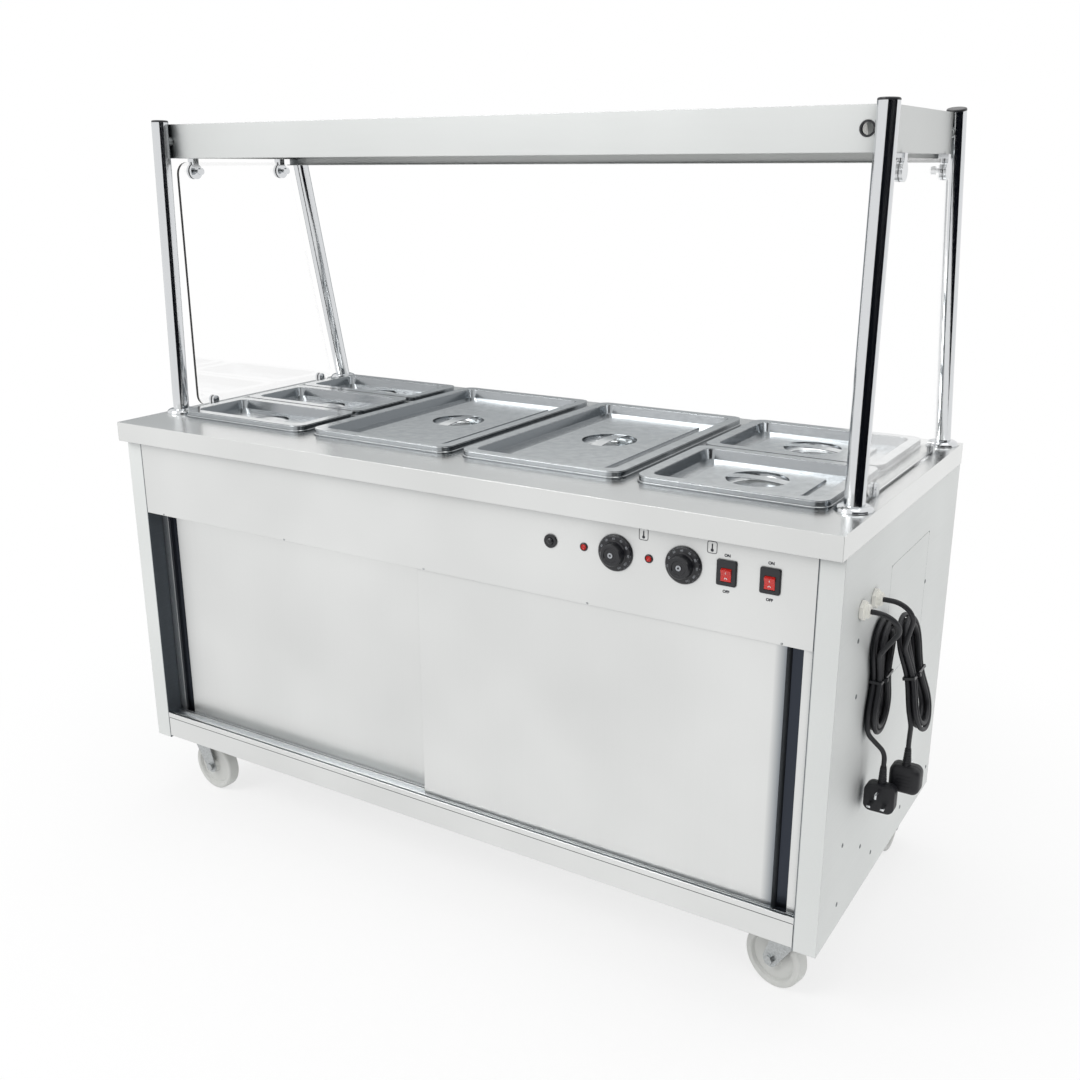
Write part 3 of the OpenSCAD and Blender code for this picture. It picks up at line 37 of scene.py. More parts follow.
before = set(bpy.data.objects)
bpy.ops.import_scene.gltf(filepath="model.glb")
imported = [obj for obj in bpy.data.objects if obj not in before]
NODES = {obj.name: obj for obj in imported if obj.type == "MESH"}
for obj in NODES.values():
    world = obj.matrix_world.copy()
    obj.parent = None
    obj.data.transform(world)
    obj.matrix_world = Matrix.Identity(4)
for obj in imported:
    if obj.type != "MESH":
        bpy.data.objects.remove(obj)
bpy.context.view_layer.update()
MM = 0.001

PANS = [name for name in NODES if name.startswith("pan_") and name != "pan_bars"]
LIDS = [name for name in NODES if name.startswith("lid_")]
FORKS = [name for name in NODES if name.startswith("fork_")]
WHEELS = [name for name in NODES if name.startswith("wheel_")]

# Places on the doors and the sides, in millimetres: where the front door's face ends at its pull,
# the planes of both doors' faces, and where a side's sheet turns in behind the opening
PULL_X = 666
DOOR_FACES = {"front_door": -310.5, "rear_door": -287.5}
SIDE_SKIN_X = 712.5
# Places on the fascia, in millimetres: its face, and the height of the controls' middle line
FASCIA_Y = -322.5
CONTROL_Z = 746
KNOBS = {"knob_top": 381.5, "knob_bottom": 499}
ROCKERS = {"rocker_main": 570, "rocker_lights": 639}
NEONS = (324, 440)

# The canopy's bolts, in millimetres: their height, its front and rear walls, and the tubes there
BOLT_Z = 1376
CANOPY_WALLS = ((-173.06, -1, -190.26), (171.27, 1, 195.06))
TUBE_X = 712


# ---- nodes and materials ----


def linear(colour):
    """The linear colour of an sRGB hex value."""
    parts = [int(colour[i : i + 2], 16) / 255 for i in (1, 3, 5)]
    return [
        c / 12.92 if c <= 0.04045 else ((c + 0.055) / 1.055) ** 2.4 for c in parts
    ] + [1.0]


def add(tree, kind, settings=None, inputs=None):
    """Adds a node with its settings. An input is a value, or another node's socket."""
    made = tree.nodes.new(kind)
    for name, value in (settings or {}).items():
        setattr(made, name, value)
    for name, value in (inputs or {}).items():
        if isinstance(value, bpy.types.NodeSocket):
            tree.links.new(value, made.inputs[name])
        else:
            made.inputs[name].default_value = value
    return made


def start_material(name):
    material = bpy.data.materials.new(name)
    material.use_nodes = True
    material.node_tree.nodes.clear()
    return material, material.node_tree


def finish_material(tree, **principled):
    """Ends a material in one Principled shader."""
    inputs = {name.replace("_", " "): value for name, value in principled.items()}
    shader = add(tree, "ShaderNodeBsdfPrincipled", inputs=inputs)
    add(tree, "ShaderNodeOutputMaterial", inputs={"Surface": shader.outputs[0]})


def noise(tree, scale, detail=2.0, stretch=(1, 1, 1)):
    """Noise on object coordinates. The scale is in features a metre."""
    place = add(tree, "ShaderNodeTexCoord").outputs["Object"]
    turned = add(tree, "ShaderNodeMapping", inputs={"Vector": place, "Scale": stretch})
    return add(
        tree,
        "ShaderNodeTexNoise",
        inputs={"Vector": turned.outputs[0], "Scale": scale, "Detail": detail},
    ).outputs["Fac"]


def ranged(tree, value, low, high):
    """Turns a pattern from 0.3 .. 0.7 into low .. high."""
    inputs = {"Value": value, "From Min": 0.3, "From Max": 0.7, "To Min": low, "To Max": high}
    return add(tree, "ShaderNodeMapRange", inputs=inputs).outputs[0]


def tinted(tree, pattern, dark, light):
    """Mixes two hex colours by a pattern."""
    mix = add(tree, "ShaderNodeMix", {"data_type": "RGBA"}, {0: pattern})
    mix.inputs[6].default_value = linear(dark)
    mix.inputs[7].default_value = linear(light)
    return mix.outputs[2]


def bumped(tree, height, distance, edge=0.0):
    """A bump of that depth in metres, over edges rounded by that radius."""
    inputs = {"Height": height, "Distance": distance, "Strength": 1.0}
    if edge:
        rounding = add(tree, "ShaderNodeBevel", {"samples": 4}, {"Radius": edge})
        inputs["Normal"] = rounding.outputs[0]
    return add(tree, "ShaderNodeBump", inputs=inputs).outputs[0]


def dimmed(tree, colour, dark, value, start, end):
    """Turns a colour to a dark hex one as a value goes from start to end."""
    inputs = {"Value": value, "From Min": start, "From Max": end}
    share = add(tree, "ShaderNodeMapRange", inputs=inputs).outputs[0]
    mix = add(tree, "ShaderNodeMix", {"data_type": "RGBA"}, {0: share, 6: colour})
    mix.inputs[7].default_value = linear(dark)
    return mix.outputs[2]


def distance_from(tree, vector, axis, middle=0.0):
    """How far one component of a vector is from a value."""
    value = add(tree, "ShaderNodeSeparateXYZ", inputs={0: vector}).outputs[axis]
    gap = add(tree, "ShaderNodeMath", {"operation": "SUBTRACT"}, {0: value, 1: middle})
    return add(tree, "ShaderNodeMath", {"operation": "ABSOLUTE"}, {0: gap.outputs[0]}).outputs[0]


def recessed(tree, colour, dark, reach=0.05):
    """Paints shade into a colour inside folds and grooves, where steel mirrors only more dark
    steel: a painted shade and painted reflection, by ambient occlusion.
    """
    near = add(tree, "ShaderNodeAmbientOcclusion", {"samples": 6}, {"Distance": reach})
    inputs = {"Value": near.outputs["AO"], "From Min": 0.25, "From Max": 0.85}
    open_share = add(tree, "ShaderNodeMapRange", inputs=inputs).outputs[0]
    mix = add(tree, "ShaderNodeMix", {"data_type": "RGBA"}, {0: open_share, 7: colour})
    mix.inputs[6].default_value = linear(dark)
    return mix.outputs[2]


def satin_steel(
    name, colours, roughness, grain_axis, fold_shade="#3E4347", reach=0.05, shade_bands=(), mark=1.0
):
    """Satin-brushed 304 sheet: a long fine grain that draws highlights out across itself.

    The grit leaves lines 0.1 mm apart, drawn 1.6 mm apart here so that they show. The dark tone for
    folds is painted shade in the sheet's folds and grooves, as far as the reach. Each row of shade
    bands is a band of painted shade and painted reflection, where the real sheet mirrors the dark
    inside: an axis, a place on it in millimetres, the distances from there at which that tone
    starts and is full, and the tone. The mark is how deep the grit has cut, against the doors'
    finish."""
    material, tree = start_material(name)
    lines_a_metre, streaks_a_metre = 620, 6
    stretch = [lines_a_metre] * 3
    stretch[grain_axis] = streaks_a_metre
    grain = noise(tree, 1.0, 3.0, stretch)
    cloud = tinted(tree, ranged(tree, noise(tree, 3.0, 2.0), 0, 1), *colours)
    # Painted shade in the sheet's folds and grooves, from ambient occlusion.
    colour = recessed(tree, cloud, fold_shade, reach)
    # Each band paints shade and reflection of the dark inside into the colour.
    for axis, middle, start, end, tone in shade_bands:
        place = add(tree, "ShaderNodeTexCoord").outputs["Object"]
        off = distance_from(tree, place, axis, middle * MM)
        colour = dimmed(tree, colour, tone, off, start * MM, end * MM)
    finish_material(
        tree,
        Base_Color=colour,
        Metallic=1.0,
        Roughness=ranged(tree, grain, roughness - 0.05 * mark, roughness + 0.05 * mark),
        Normal=bumped(tree, grain, 0.01 * MM * mark, 1.2 * MM),
    )
    return material


def pressed_steel(name, colours):
    """Deep-drawn 18/10 sheet: bright, with the slight orange peel of the press and fine scratches.

    The walls along its length mirror each other and the dark gaps; a painted shade and painted
    reflection makes them darker than its flats, by which way each face looks. The walls across it
    and the edges of the rims get only a little of that painted shade."""
    material, tree = start_material(name)
    peel = noise(tree, 160, 2.0)
    scratch = noise(tree, 1.0, 2.0, (90, 900, 90))
    flat = tinted(tree, ranged(tree, noise(tree, 60, 3.0), 0, 1), *colours)
    normal = add(tree, "ShaderNodeNewGeometry").outputs["Normal"]
    # Painted shade and reflection by facing: steep faces darker, the faces along the length
    # darkest.
    walls = dimmed(tree, flat, "#9A9EA1", distance_from(tree, normal, 2), 0.7, 0.2)
    finish_material(
        tree,
        Base_Color=dimmed(tree, walls, "#74797D", distance_from(tree, normal, 0), 0.5, 0.9),
        Metallic=1.0,
        Roughness=ranged(tree, scratch, 0.15, 0.22),
        Normal=bumped(tree, peel, 0.03 * MM, 0.8 * MM),
    )
    return material


def polished_tube(name, colour):
    """Mirror-polished welded tube: a clean mirror, faintly drawn along its length."""
    material, tree = start_material(name)
    drawn = noise(tree, 1.0, 2.0, (500, 500, 8))
    finish_material(
        tree,
        Base_Color=linear(colour),
        Metallic=1.0,
        Roughness=ranged(tree, drawn, 0.07, 0.13),
    )
    return material


def zinc_plate(name, colours):
    """Bright zinc on pressed steel: cloudy, with a bluish cast and a grain of about 3 mm."""
    material, tree = start_material(name)
    cloud = noise(tree, 330, 3.0)
    finish_material(
        tree,
        Base_Color=tinted(tree, ranged(tree, cloud, 0, 1), *colours),
        Metallic=1.0,
        Roughness=ranged(tree, cloud, 0.3, 0.42),
        Normal=bumped(tree, cloud, 0.04 * MM, 0.6 * MM),
    )
    return material


def moulded_plastic(name, colour, roughness, texture_mm, depth_mm, coat=0.0, through=0.0):
    """Moulded ABS, nylon or polycarbonate: one even colour with the tool's texture in its skin."""
    material, tree = start_material(name)
    skin = noise(tree, 1000 / texture_mm, 2.0)
    finish_material(
        tree,
        Base_Color=linear(colour),
        Roughness=ranged(tree, skin, roughness - 0.05, roughness + 0.05),
        IOR=1.5,
        Coat_Weight=coat,
        Transmission_Weight=through,
        Normal=bumped(tree, skin, depth_mm * MM, 0.5 * MM),
    )
    return material


def clear_glass(name, colour):
    """Toughened float glass: clear through its faces, bright and dark only along its edges."""
    material, tree = start_material(name)
    finish_material(
        tree,
        Base_Color=linear(colour),
        Roughness=0.0,
        IOR=1.45,
        Transmission_Weight=1.0,
    )
    return material


def printed_ink(name, colour):
    """Screen-printed ink: flat and a little broken at the edges of its film."""
    material, tree = start_material(name)
    finish_material(
        tree,
        Base_Color=linear(colour),
        Roughness=ranged(tree, noise(tree, 900, 2.0), 0.5, 0.7),
    )
    return material


MATERIALS = {}


def make_materials(colours):
    """One material for each finish of the trolley."""
    front = (colours.steel_dark, colours.steel_light)
    # The sides and the canopy are the same satin sheet as the front, in tones of their own set for
    # how light falls on each: painted light on the sides and painted shade on the canopy.
    side, canopy = ("#DEE0DF", "#E4E6E5"), ("#C9CBCA", "#D0D2D1")
    # Painted tones: the first is painted shade in folds and grooves, the pull tone painted shade
    # and reflection inside the doors' pulls, the next a painted shaded roll where the front door's
    # face turns into its pull, and the last painted shade on the sides' inner returns.
    fold_shade, pull, pull_edge_shade, skin = "#565B60", "#3A3E46", "#8A8F94", "#656B71"
    shade_bands = {name: [(1, face, 2, 9.5, pull)] for name, face in DOOR_FACES.items()}
    shade_bands["front_door"].insert(0, (0, PULL_X, 18, 0, pull_edge_shade))
    for name, rows in shade_bands.items():
        grain = satin_steel("satin_steel_" + name, front, 0.36, 2, fold_shade, 0.012, rows)
        MATERIALS[name + "_grain"] = grain
    return_shade_band = [(0, 0, SIDE_SKIN_X, SIDE_SKIN_X - 2, skin)]
    MATERIALS.update(
        long_grain=satin_steel("satin_steel_long_grain", front, 0.34, 0),
        top_grain=satin_steel("satin_steel_worktop", front, 0.26, 0, fold_shade, 0.02, mark=0.12),
        # The track's grooves get a lighter painted shade.
        track_grain=satin_steel("satin_steel_track", front, 0.34, 0, "#B4B8BB", 0.03),
        canopy_grain=satin_steel("satin_steel_canopy", canopy, 0.4, 0, mark=0.4),
        side_grain=satin_steel("satin_steel_sides", side, 0.65, 1, fold_shade, 0.02, return_shade_band),
        pressed=pressed_steel("pressed_steel_pan", ("#CBCECF", "#DCDEDF")),
        tube=polished_tube("polished_steel_tube", "#D6D8DA"),
        zinc=zinc_plate("bright_zinc_plate", ("#A3A6A6", "#C2C5C6")),
        black=moulded_plastic("black_phenolic", colours.black, 0.34, 0.9, 0.012, 0.1),
        sheath=moulded_plastic("black_rubber_sheath", colours.black, 0.5, 1.2, 0.02),
        red=moulded_plastic("red_polycarbonate", colours.red, 0.2, 2.0, 0.01, 0.4, 0.25),
        nylon=moulded_plastic("white_nylon", "#E9E8E1", 0.42, 1.5, 0.02),
        # Grey-white nylon, its tone darkened further as painted shade under the cupboard.
        wheel=moulded_plastic("greyed_nylon_wheel", "#CFD0CD", 0.42, 1.5, 0.02),
        enamel=moulded_plastic("white_enamel", "#ECEBE7", 0.3, 4.0, 0.01, 0.3),
        # Zinc, its tones darkened as painted shade on the screw heads and their cross recesses.
        screw=zinc_plate("zinc_screw_painted_shade", ("#6E7274", "#8E9294")),
        element=zinc_plate("oxidised_element_sheath", ("#3B3732", "#57514A")),
        glass=clear_glass("clear_toughened_glass", "#FFFFFF"),
        ink=printed_ink("dark_screen_ink", "#25262E"),
        dial=printed_ink("grey_dial_ink", "#A3A6AB"),
        mark=printed_ink("white_mark_ink", "#E4E4E4"),
    )


def dress(material, *names):
    """Gives CAD nodes a finish."""
    for name in names:
        for slot in NODES[name].material_slots:
            slot.material = MATERIALS[material]


# ---- making pieces ----


def keep(name, mesh, materials, body, replaces=()):
    """Makes a finished piece of a mesh whose place is in its points, in metres."""
    for material in materials:
        mesh.materials.append(MATERIALS[material])
    piece = bpy.data.objects.new(name, mesh)
    bpy.context.scene.collection.objects.link(piece)
    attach(piece, body)
    if replaces:
        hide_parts(*replaces)
    return piece


def to_mesh(work, name, smooth_angle=40):
    """Ends a bmesh whose points are in millimetres."""
    bmesh.ops.remove_doubles(work, verts=work.verts, dist=0.001)
    bmesh.ops.recalc_face_normals(work, faces=work.faces)
    limit = math.radians(smooth_angle)
    for edge in work.edges:
        edge.smooth = len(edge.link_faces) == 2 and edge.calc_face_angle(9) < limit
    for face in work.faces:
        face.smooth = True
    work.transform(Matrix.Scale(MM, 4))
    mesh = bpy.data.meshes.new(name)
    work.to_mesh(mesh)
    work.free()
    return mesh


def join(work, other, matrix=None):
    """Adds a bmesh to another."""
    mesh = bpy.data.meshes.new("part")
    if matrix is not None:
        other.transform(matrix)
    other.to_mesh(mesh)
    other.free()
    work.from_mesh(mesh)
    bpy.data.meshes.remove(mesh)


def turned(profile, segments):
    """A closed revolve of (radius, height) points about Z."""
    work = bmesh.new()
    rings = []
    for radius, height in profile:
        if radius < 1e-6:
            rings.append([work.verts.new((0, 0, height))])
            continue
        angles = [2 * math.pi * i / segments for i in range(segments)]
        rings.append(
            [work.verts.new((radius * math.cos(a), radius * math.sin(a), height)) for a in angles]
        )
    for low, high in zip(rings, rings[1:]):
        for i in range(segments):
            corners = [
                low[i % len(low)],
                low[(i + 1) % len(low)],
                high[(i + 1) % len(high)],
                high[i % len(high)],
            ]
            work.faces.new(list(dict.fromkeys(corners)))
    return work


def cross_head(width, height):
    """A low domed screw head with a cross recess, +Z outwards."""
    arm_width, arm_length, recess = 0.075 * width, 0.3 * width, 0.45 * height
    work = bmesh.new()
    rings, sides, r = 16, 48, width / 2
    top = []
    for i in range(1, rings + 1):
        radius = r * i / rings
        ring = []
        for k in range(sides):
            a = 2 * math.pi * k / sides
            x, y = radius * math.cos(a), radius * math.sin(a)
            z = height * math.sqrt(max(0, 1 - (radius / r) ** 2))
            near, far = sorted((abs(x), abs(y)))
            if near < arm_width and far < arm_length:
                z -= recess
            ring.append(work.verts.new((x, y, z)))
        top.append(ring)
    middle = work.verts.new((0, 0, 0.5 * height))
    for k in range(sides):
        j = (k + 1) % sides
        work.faces.new((middle, top[0][k], top[0][j]))
        for low, high in zip(top, top[1:]):
            work.faces.new((low[k], high[k], high[j], low[j]))
    work.faces.new(list(reversed(top[-1])))
    return work


def rounded_block(size, radius, segments=3, index=0):
    """A block with rounded edges about the origin."""
    work = bmesh.new()
    bmesh.ops.create_cube(work, size=1)
    bmesh.ops.scale(work, vec=size, verts=work.verts)
    bmesh.ops.bevel(
        work, geom=work.edges[:], offset=radius, segments=segments, affect="EDGES", profile=0.5
    )
    for face in work.faces:
        face.material_index = index
    return work


def stacked(width, height, corner, rings):
    """A rounded rectangle carried up through rings of (inset, z)."""
    work = bmesh.new()
    loops = []
    for inset, z in rings:
        x, y, r = width / 2 - corner, height / 2 - corner, corner - inset
        loop = []
        for quarter, (sx, sy) in enumerate(((1, 1), (-1, 1), (-1, -1), (1, -1))):
            for k in range(9):
                a = math.pi / 2 * (quarter + k / 8)
                loop.append(work.verts.new((sx * x + r * math.cos(a), sy * y + r * math.sin(a), z)))
        loops.append(loop)
    for low, high in zip(loops, loops[1:]):
        for k in range(len(low)):
            j = (k + 1) % len(low)
            work.faces.new((low[k], low[j], high[j], high[k]))
    work.faces.new(list(reversed(loops[0])))
    work.faces.new(loops[-1])
    return work


def lettering(word, height, depth, weight=0.0):
    """A word or number as a mesh in the XY plane, centred, in millimetres."""
    capital_share = 0.72
    curve = bpy.data.curves.new(word, "FONT")
    curve.body = word
    curve.size = height / capital_share
    curve.extrude = depth / 2
    curve.offset = weight
    curve.align_x = "CENTER"
    curve.align_y = "CENTER"
    holder = bpy.data.objects.new(word, curve)
    bpy.context.scene.collection.objects.link(holder)
    shown = holder.evaluated_get(bpy.context.evaluated_depsgraph_get())
    mesh = bpy.data.meshes.new_from_object(shown)
    bpy.data.objects.remove(holder)
    bpy.data.curves.remove(curve)
    work = bmesh.new()
    work.from_mesh(mesh)
    bpy.data.meshes.remove(mesh)
    return work


def on_fascia(x, z, out=0.0):
    """Places a piece made in the XY plane on the fascia, its +Z outwards."""
    return Matrix.Translation((x, FASCIA_Y - out, z)) @ Matrix.Rotation(math.pi / 2, 4, "X")


# ---- repeated pieces by Geometry Nodes ----


def repeat_tree(title):
    """A tree that puts a copy of a shape on each point, turned by the point's "turn"."""
    tree = bpy.data.node_groups.new(title, "GeometryNodeTree")
    face = tree.interface
    face.new_socket("Geometry", in_out="INPUT", socket_type="NodeSocketGeometry")
    face.new_socket("Shape", in_out="INPUT", socket_type="NodeSocketObject")
    size = face.new_socket("Size", in_out="INPUT", socket_type="NodeSocketFloat")
    size.default_value = 1.0
    face.new_socket("Finish", in_out="INPUT", socket_type="NodeSocketMaterial")
    face.new_socket("Geometry", in_out="OUTPUT", socket_type="NodeSocketGeometry")
    given = add(tree, "NodeGroupInput")
    shape = add(tree, "GeometryNodeObjectInfo", inputs={"Object": given.outputs["Shape"]})
    turn = add(tree, "GeometryNodeInputNamedAttribute", {"data_type": "FLOAT_VECTOR"})
    turn.inputs["Name"].default_value = "turn"
    points = add(
        tree,
        "GeometryNodeInstanceOnPoints",
        inputs={
            "Points": given.outputs["Geometry"],
            "Instance": shape.outputs["Geometry"],
            "Rotation": turn.outputs["Attribute"],
            "Scale": given.outputs["Size"],
        },
    )
    solid = add(tree, "GeometryNodeRealizeInstances", inputs={"Geometry": points.outputs[0]})
    painted = add(
        tree,
        "GeometryNodeSetMaterial",
        inputs={"Geometry": solid.outputs[0], "Material": given.outputs["Finish"]},
    )
    add(tree, "NodeGroupOutput", inputs={"Geometry": painted.outputs[0]})
    return tree


def repeated(name, work, places, material, size=1.0):
    """A mesh with the shape at each place: (point, turn) in millimetres and radians."""
    shape = bpy.data.objects.new(name + "_shape", to_mesh(work, name + "_shape"))
    points = bpy.data.meshes.new(name + "_points")
    points.from_pydata([[c * MM for c in place] for place, _ in places], [], [])
    turns = points.attributes.new("turn", "FLOAT_VECTOR", "POINT")
    for i, (_, turn) in enumerate(places):
        turns.data[i].vector = turn
    holder = bpy.data.objects.new(name + "_points", points)
    for made in (shape, holder):
        bpy.context.scene.collection.objects.link(made)
    modifier = holder.modifiers.new("repeat", "NODES")
    modifier.node_group = repeat_tree(name)
    given = {"Shape": shape, "Size": size, "Finish": MATERIALS[material]}
    for socket in modifier.node_group.interface.items_tree:
        if socket.in_out == "INPUT" and socket.name in given:
            modifier[socket.identifier] = given[socket.name]
    shown = holder.evaluated_get(bpy.context.evaluated_depsgraph_get())
    mesh = bpy.data.meshes.new_from_object(shown)
    tree = modifier.node_group
    for data in (points, shape.data):
        bpy.data.meshes.remove(data)
    bpy.data.node_groups.remove(tree)
    finish = mesh.materials.find(MATERIALS[material].name)
    if finish:
        for face in mesh.polygons:
            face.material_index = 0
        mesh.materials.clear()
        mesh.materials.append(MATERIALS[material])
    return mesh


# ---- cords: the route of part.scad, more finely divided ----

CORD = 8.0
FOLD_R, TURN_STEP, LAYER_STEP, WAIST, HALF_RUN = 43.0, 9.5, 8.8, 13.0, 56.0
LOOPS, START_LOOP = 2, 0.0625
END_LOOP = 2 * LOOPS + 0.25
GLAND_X, GLAND_Z = 763, 691
# The corners are how far a lead runs out of its gland, back before its hank, down from the hank
# and up from the plug. The lean is in degrees.
LEADS = {
    "a": dict(
        gland_y=-226, hank=(760, -120, 547), lean=0, plug=(781, -140, 400), corners=(62, 18, 21, 24)
    ),
    "b": dict(
        gland_y=-163.5,
        hank=(801, -80, 548),
        lean=13,
        plug=(810, -110, 427),
        corners=(54, 22, 12, 15),
    ),
}


def hank_point(t):
    """Place after t loops in the hank's own frame: across, through its layers, up its runs."""
    if t < LOOPS:
        r, w = FOLD_R - TURN_STEP * t, 1
    elif t < LOOPS + 0.25:
        r, w = FOLD_R - TURN_STEP * LOOPS, math.cos(4 * math.pi * (t - LOOPS))
    else:
        r, w = FOLD_R - TURN_STEP * (END_LOOP - t), -1
    quarter, part = divmod(4 * (t - math.floor(t)), 1)
    a, v = math.pi * part, HALF_RUN * (1 - 2 * part)
    drawn = WAIST * (1 + math.cos(math.pi * v / HALF_RUN)) / 2
    across, up = (
        (drawn - r, v),
        (-r * math.cos(a), -HALF_RUN - r * math.sin(a)),
        (r - drawn, -v),
        (r * math.cos(a), HALF_RUN + r * math.sin(a)),
    )[int(quarter)]
    return Vector((across, w * LAYER_STEP / 2, up))


def bent(corners, steps=14):
    """A route through corners, each rounded to four diameters."""
    radius = 4 * CORD
    route = [corners[0]]
    for before, corner, after in zip(corners, corners[1:], corners[2:]):
        a, b = (corner - before).normalized(), (after - corner).normalized()
        turn = a.angle(b)
        inward = (b - a * a.dot(b)).normalized()
        middle = corner + (inward - a * math.tan(turn / 2)) * radius
        for k in range(steps + 1):
            w = turn * k / steps
            route.append(middle + (a * math.sin(w) - inward * math.cos(w)) * radius)
    return route + [corners[-1]]


def lead_route(lead):
    """Points of a lead from its gland through its hank to its plug."""
    lean = math.radians(lead["lean"])
    across = Vector((0, 1, 0))
    outward = Vector((math.cos(lean), 0, math.sin(lean)))
    up = Vector((-math.sin(lean), 0, math.cos(lean)))

    def placed(q):
        return Vector(lead["hank"]) + across * q[0] + outward * q[1] + up * q[2]

    rings = 96
    first = math.ceil(START_LOOP * rings + 0.1)
    turns = [START_LOOP] + [i / rings for i in range(first, int(END_LOOP * rings))]
    hank = [placed(hank_point(t)) for t in turns]
    hank.append(placed((-FOLD_R, -LAYER_STEP / 2, -HALF_RUN)))
    out, back, down, rise = lead["corners"]
    gland = Vector((GLAND_X, lead["gland_y"], GLAND_Z))
    enter = (hank[1] - hank[0]).normalized()
    first, last = hank[0] - enter * CORD, hank[-1] - up * CORD
    plug = Vector(lead["plug"])
    come = bent([gland, gland + Vector((out, 0, 0)), first - enter * back, first])
    leave = bent([last, last - up * down, plug + Vector((0, 0, rise)), plug])
    return spaced(come + hank + leave, 3.0)


def spaced(route, step):
    """Adds points on long straight stretches and drops those that nearly meet."""
    even = [route[0]]
    for point in route[1:]:
        gap = (point - even[-1]).length
        if gap < 0.4:
            continue
        start, count = even[-1], max(1, round(gap / step))
        even += [start.lerp(point, k / count) for k in range(1, count + 1)]
    return even


def tube(route, width, sides=14):
    """A closed tube along a route, turned as little as the route allows."""
    work = bmesh.new()
    rings = []
    side = None
    for i, point in enumerate(route):
        along = (route[min(i + 1, len(route) - 1)] - route[max(i - 1, 0)]).normalized()
        side = along.orthogonal() if side is None else side - along * side.dot(along)
        side.normalize()
        other = along.cross(side)
        angles = [2 * math.pi * k / sides for k in range(sides)]
        rings.append(
            [
                work.verts.new(point + (side * math.cos(a) + other * math.sin(a)) * width / 2)
                for a in angles
            ]
        )
    for low, high in zip(rings, rings[1:]):
        for k in range(sides):
            j = (k + 1) % sides
            work.faces.new((low[k], low[j], high[j], high[k]))
    work.faces.new(list(reversed(rings[0])))
    work.faces.new(rings[-1])
    return work


# ---- settings ----


class HotCupboardColours(bpy.types.PropertyGroup):
    """Colours of the trolley's finishes, as sRGB hex values."""

    steel_light: bpy.props.StringProperty(
        name="Steel, light", description="Light tone of the satin sheet", default="#E3E4E3"
    )
    steel_dark: bpy.props.StringProperty(
        name="Steel, dark", description="Dark tone of the satin sheet", default="#D9DAD9"
    )
    black: bpy.props.StringProperty(
        name="Black parts", description="Knobs, switches and leads", default="#15161B"
    )
    red: bpy.props.StringProperty(
        name="Red parts", description="Rockers and neon lenses", default="#D8231A"
    )


class HotCupboardSizes(bpy.types.PropertyGroup):
    """Sizes of the fine detail that the finish adds."""

    screw_head: bpy.props.FloatProperty(
        name="Screw head", description="Width of a panel screw", default=0.008, unit="LENGTH"
    )
    numeral: bpy.props.FloatProperty(
        name="Dial numeral", description="Height of a number", default=0.0034, unit="LENGTH"
    )
    focal_length: bpy.props.FloatProperty(
        name="Lens", description="Focal length of the camera", default=39.67, min=20, max=80
    )


# ---- operators ----


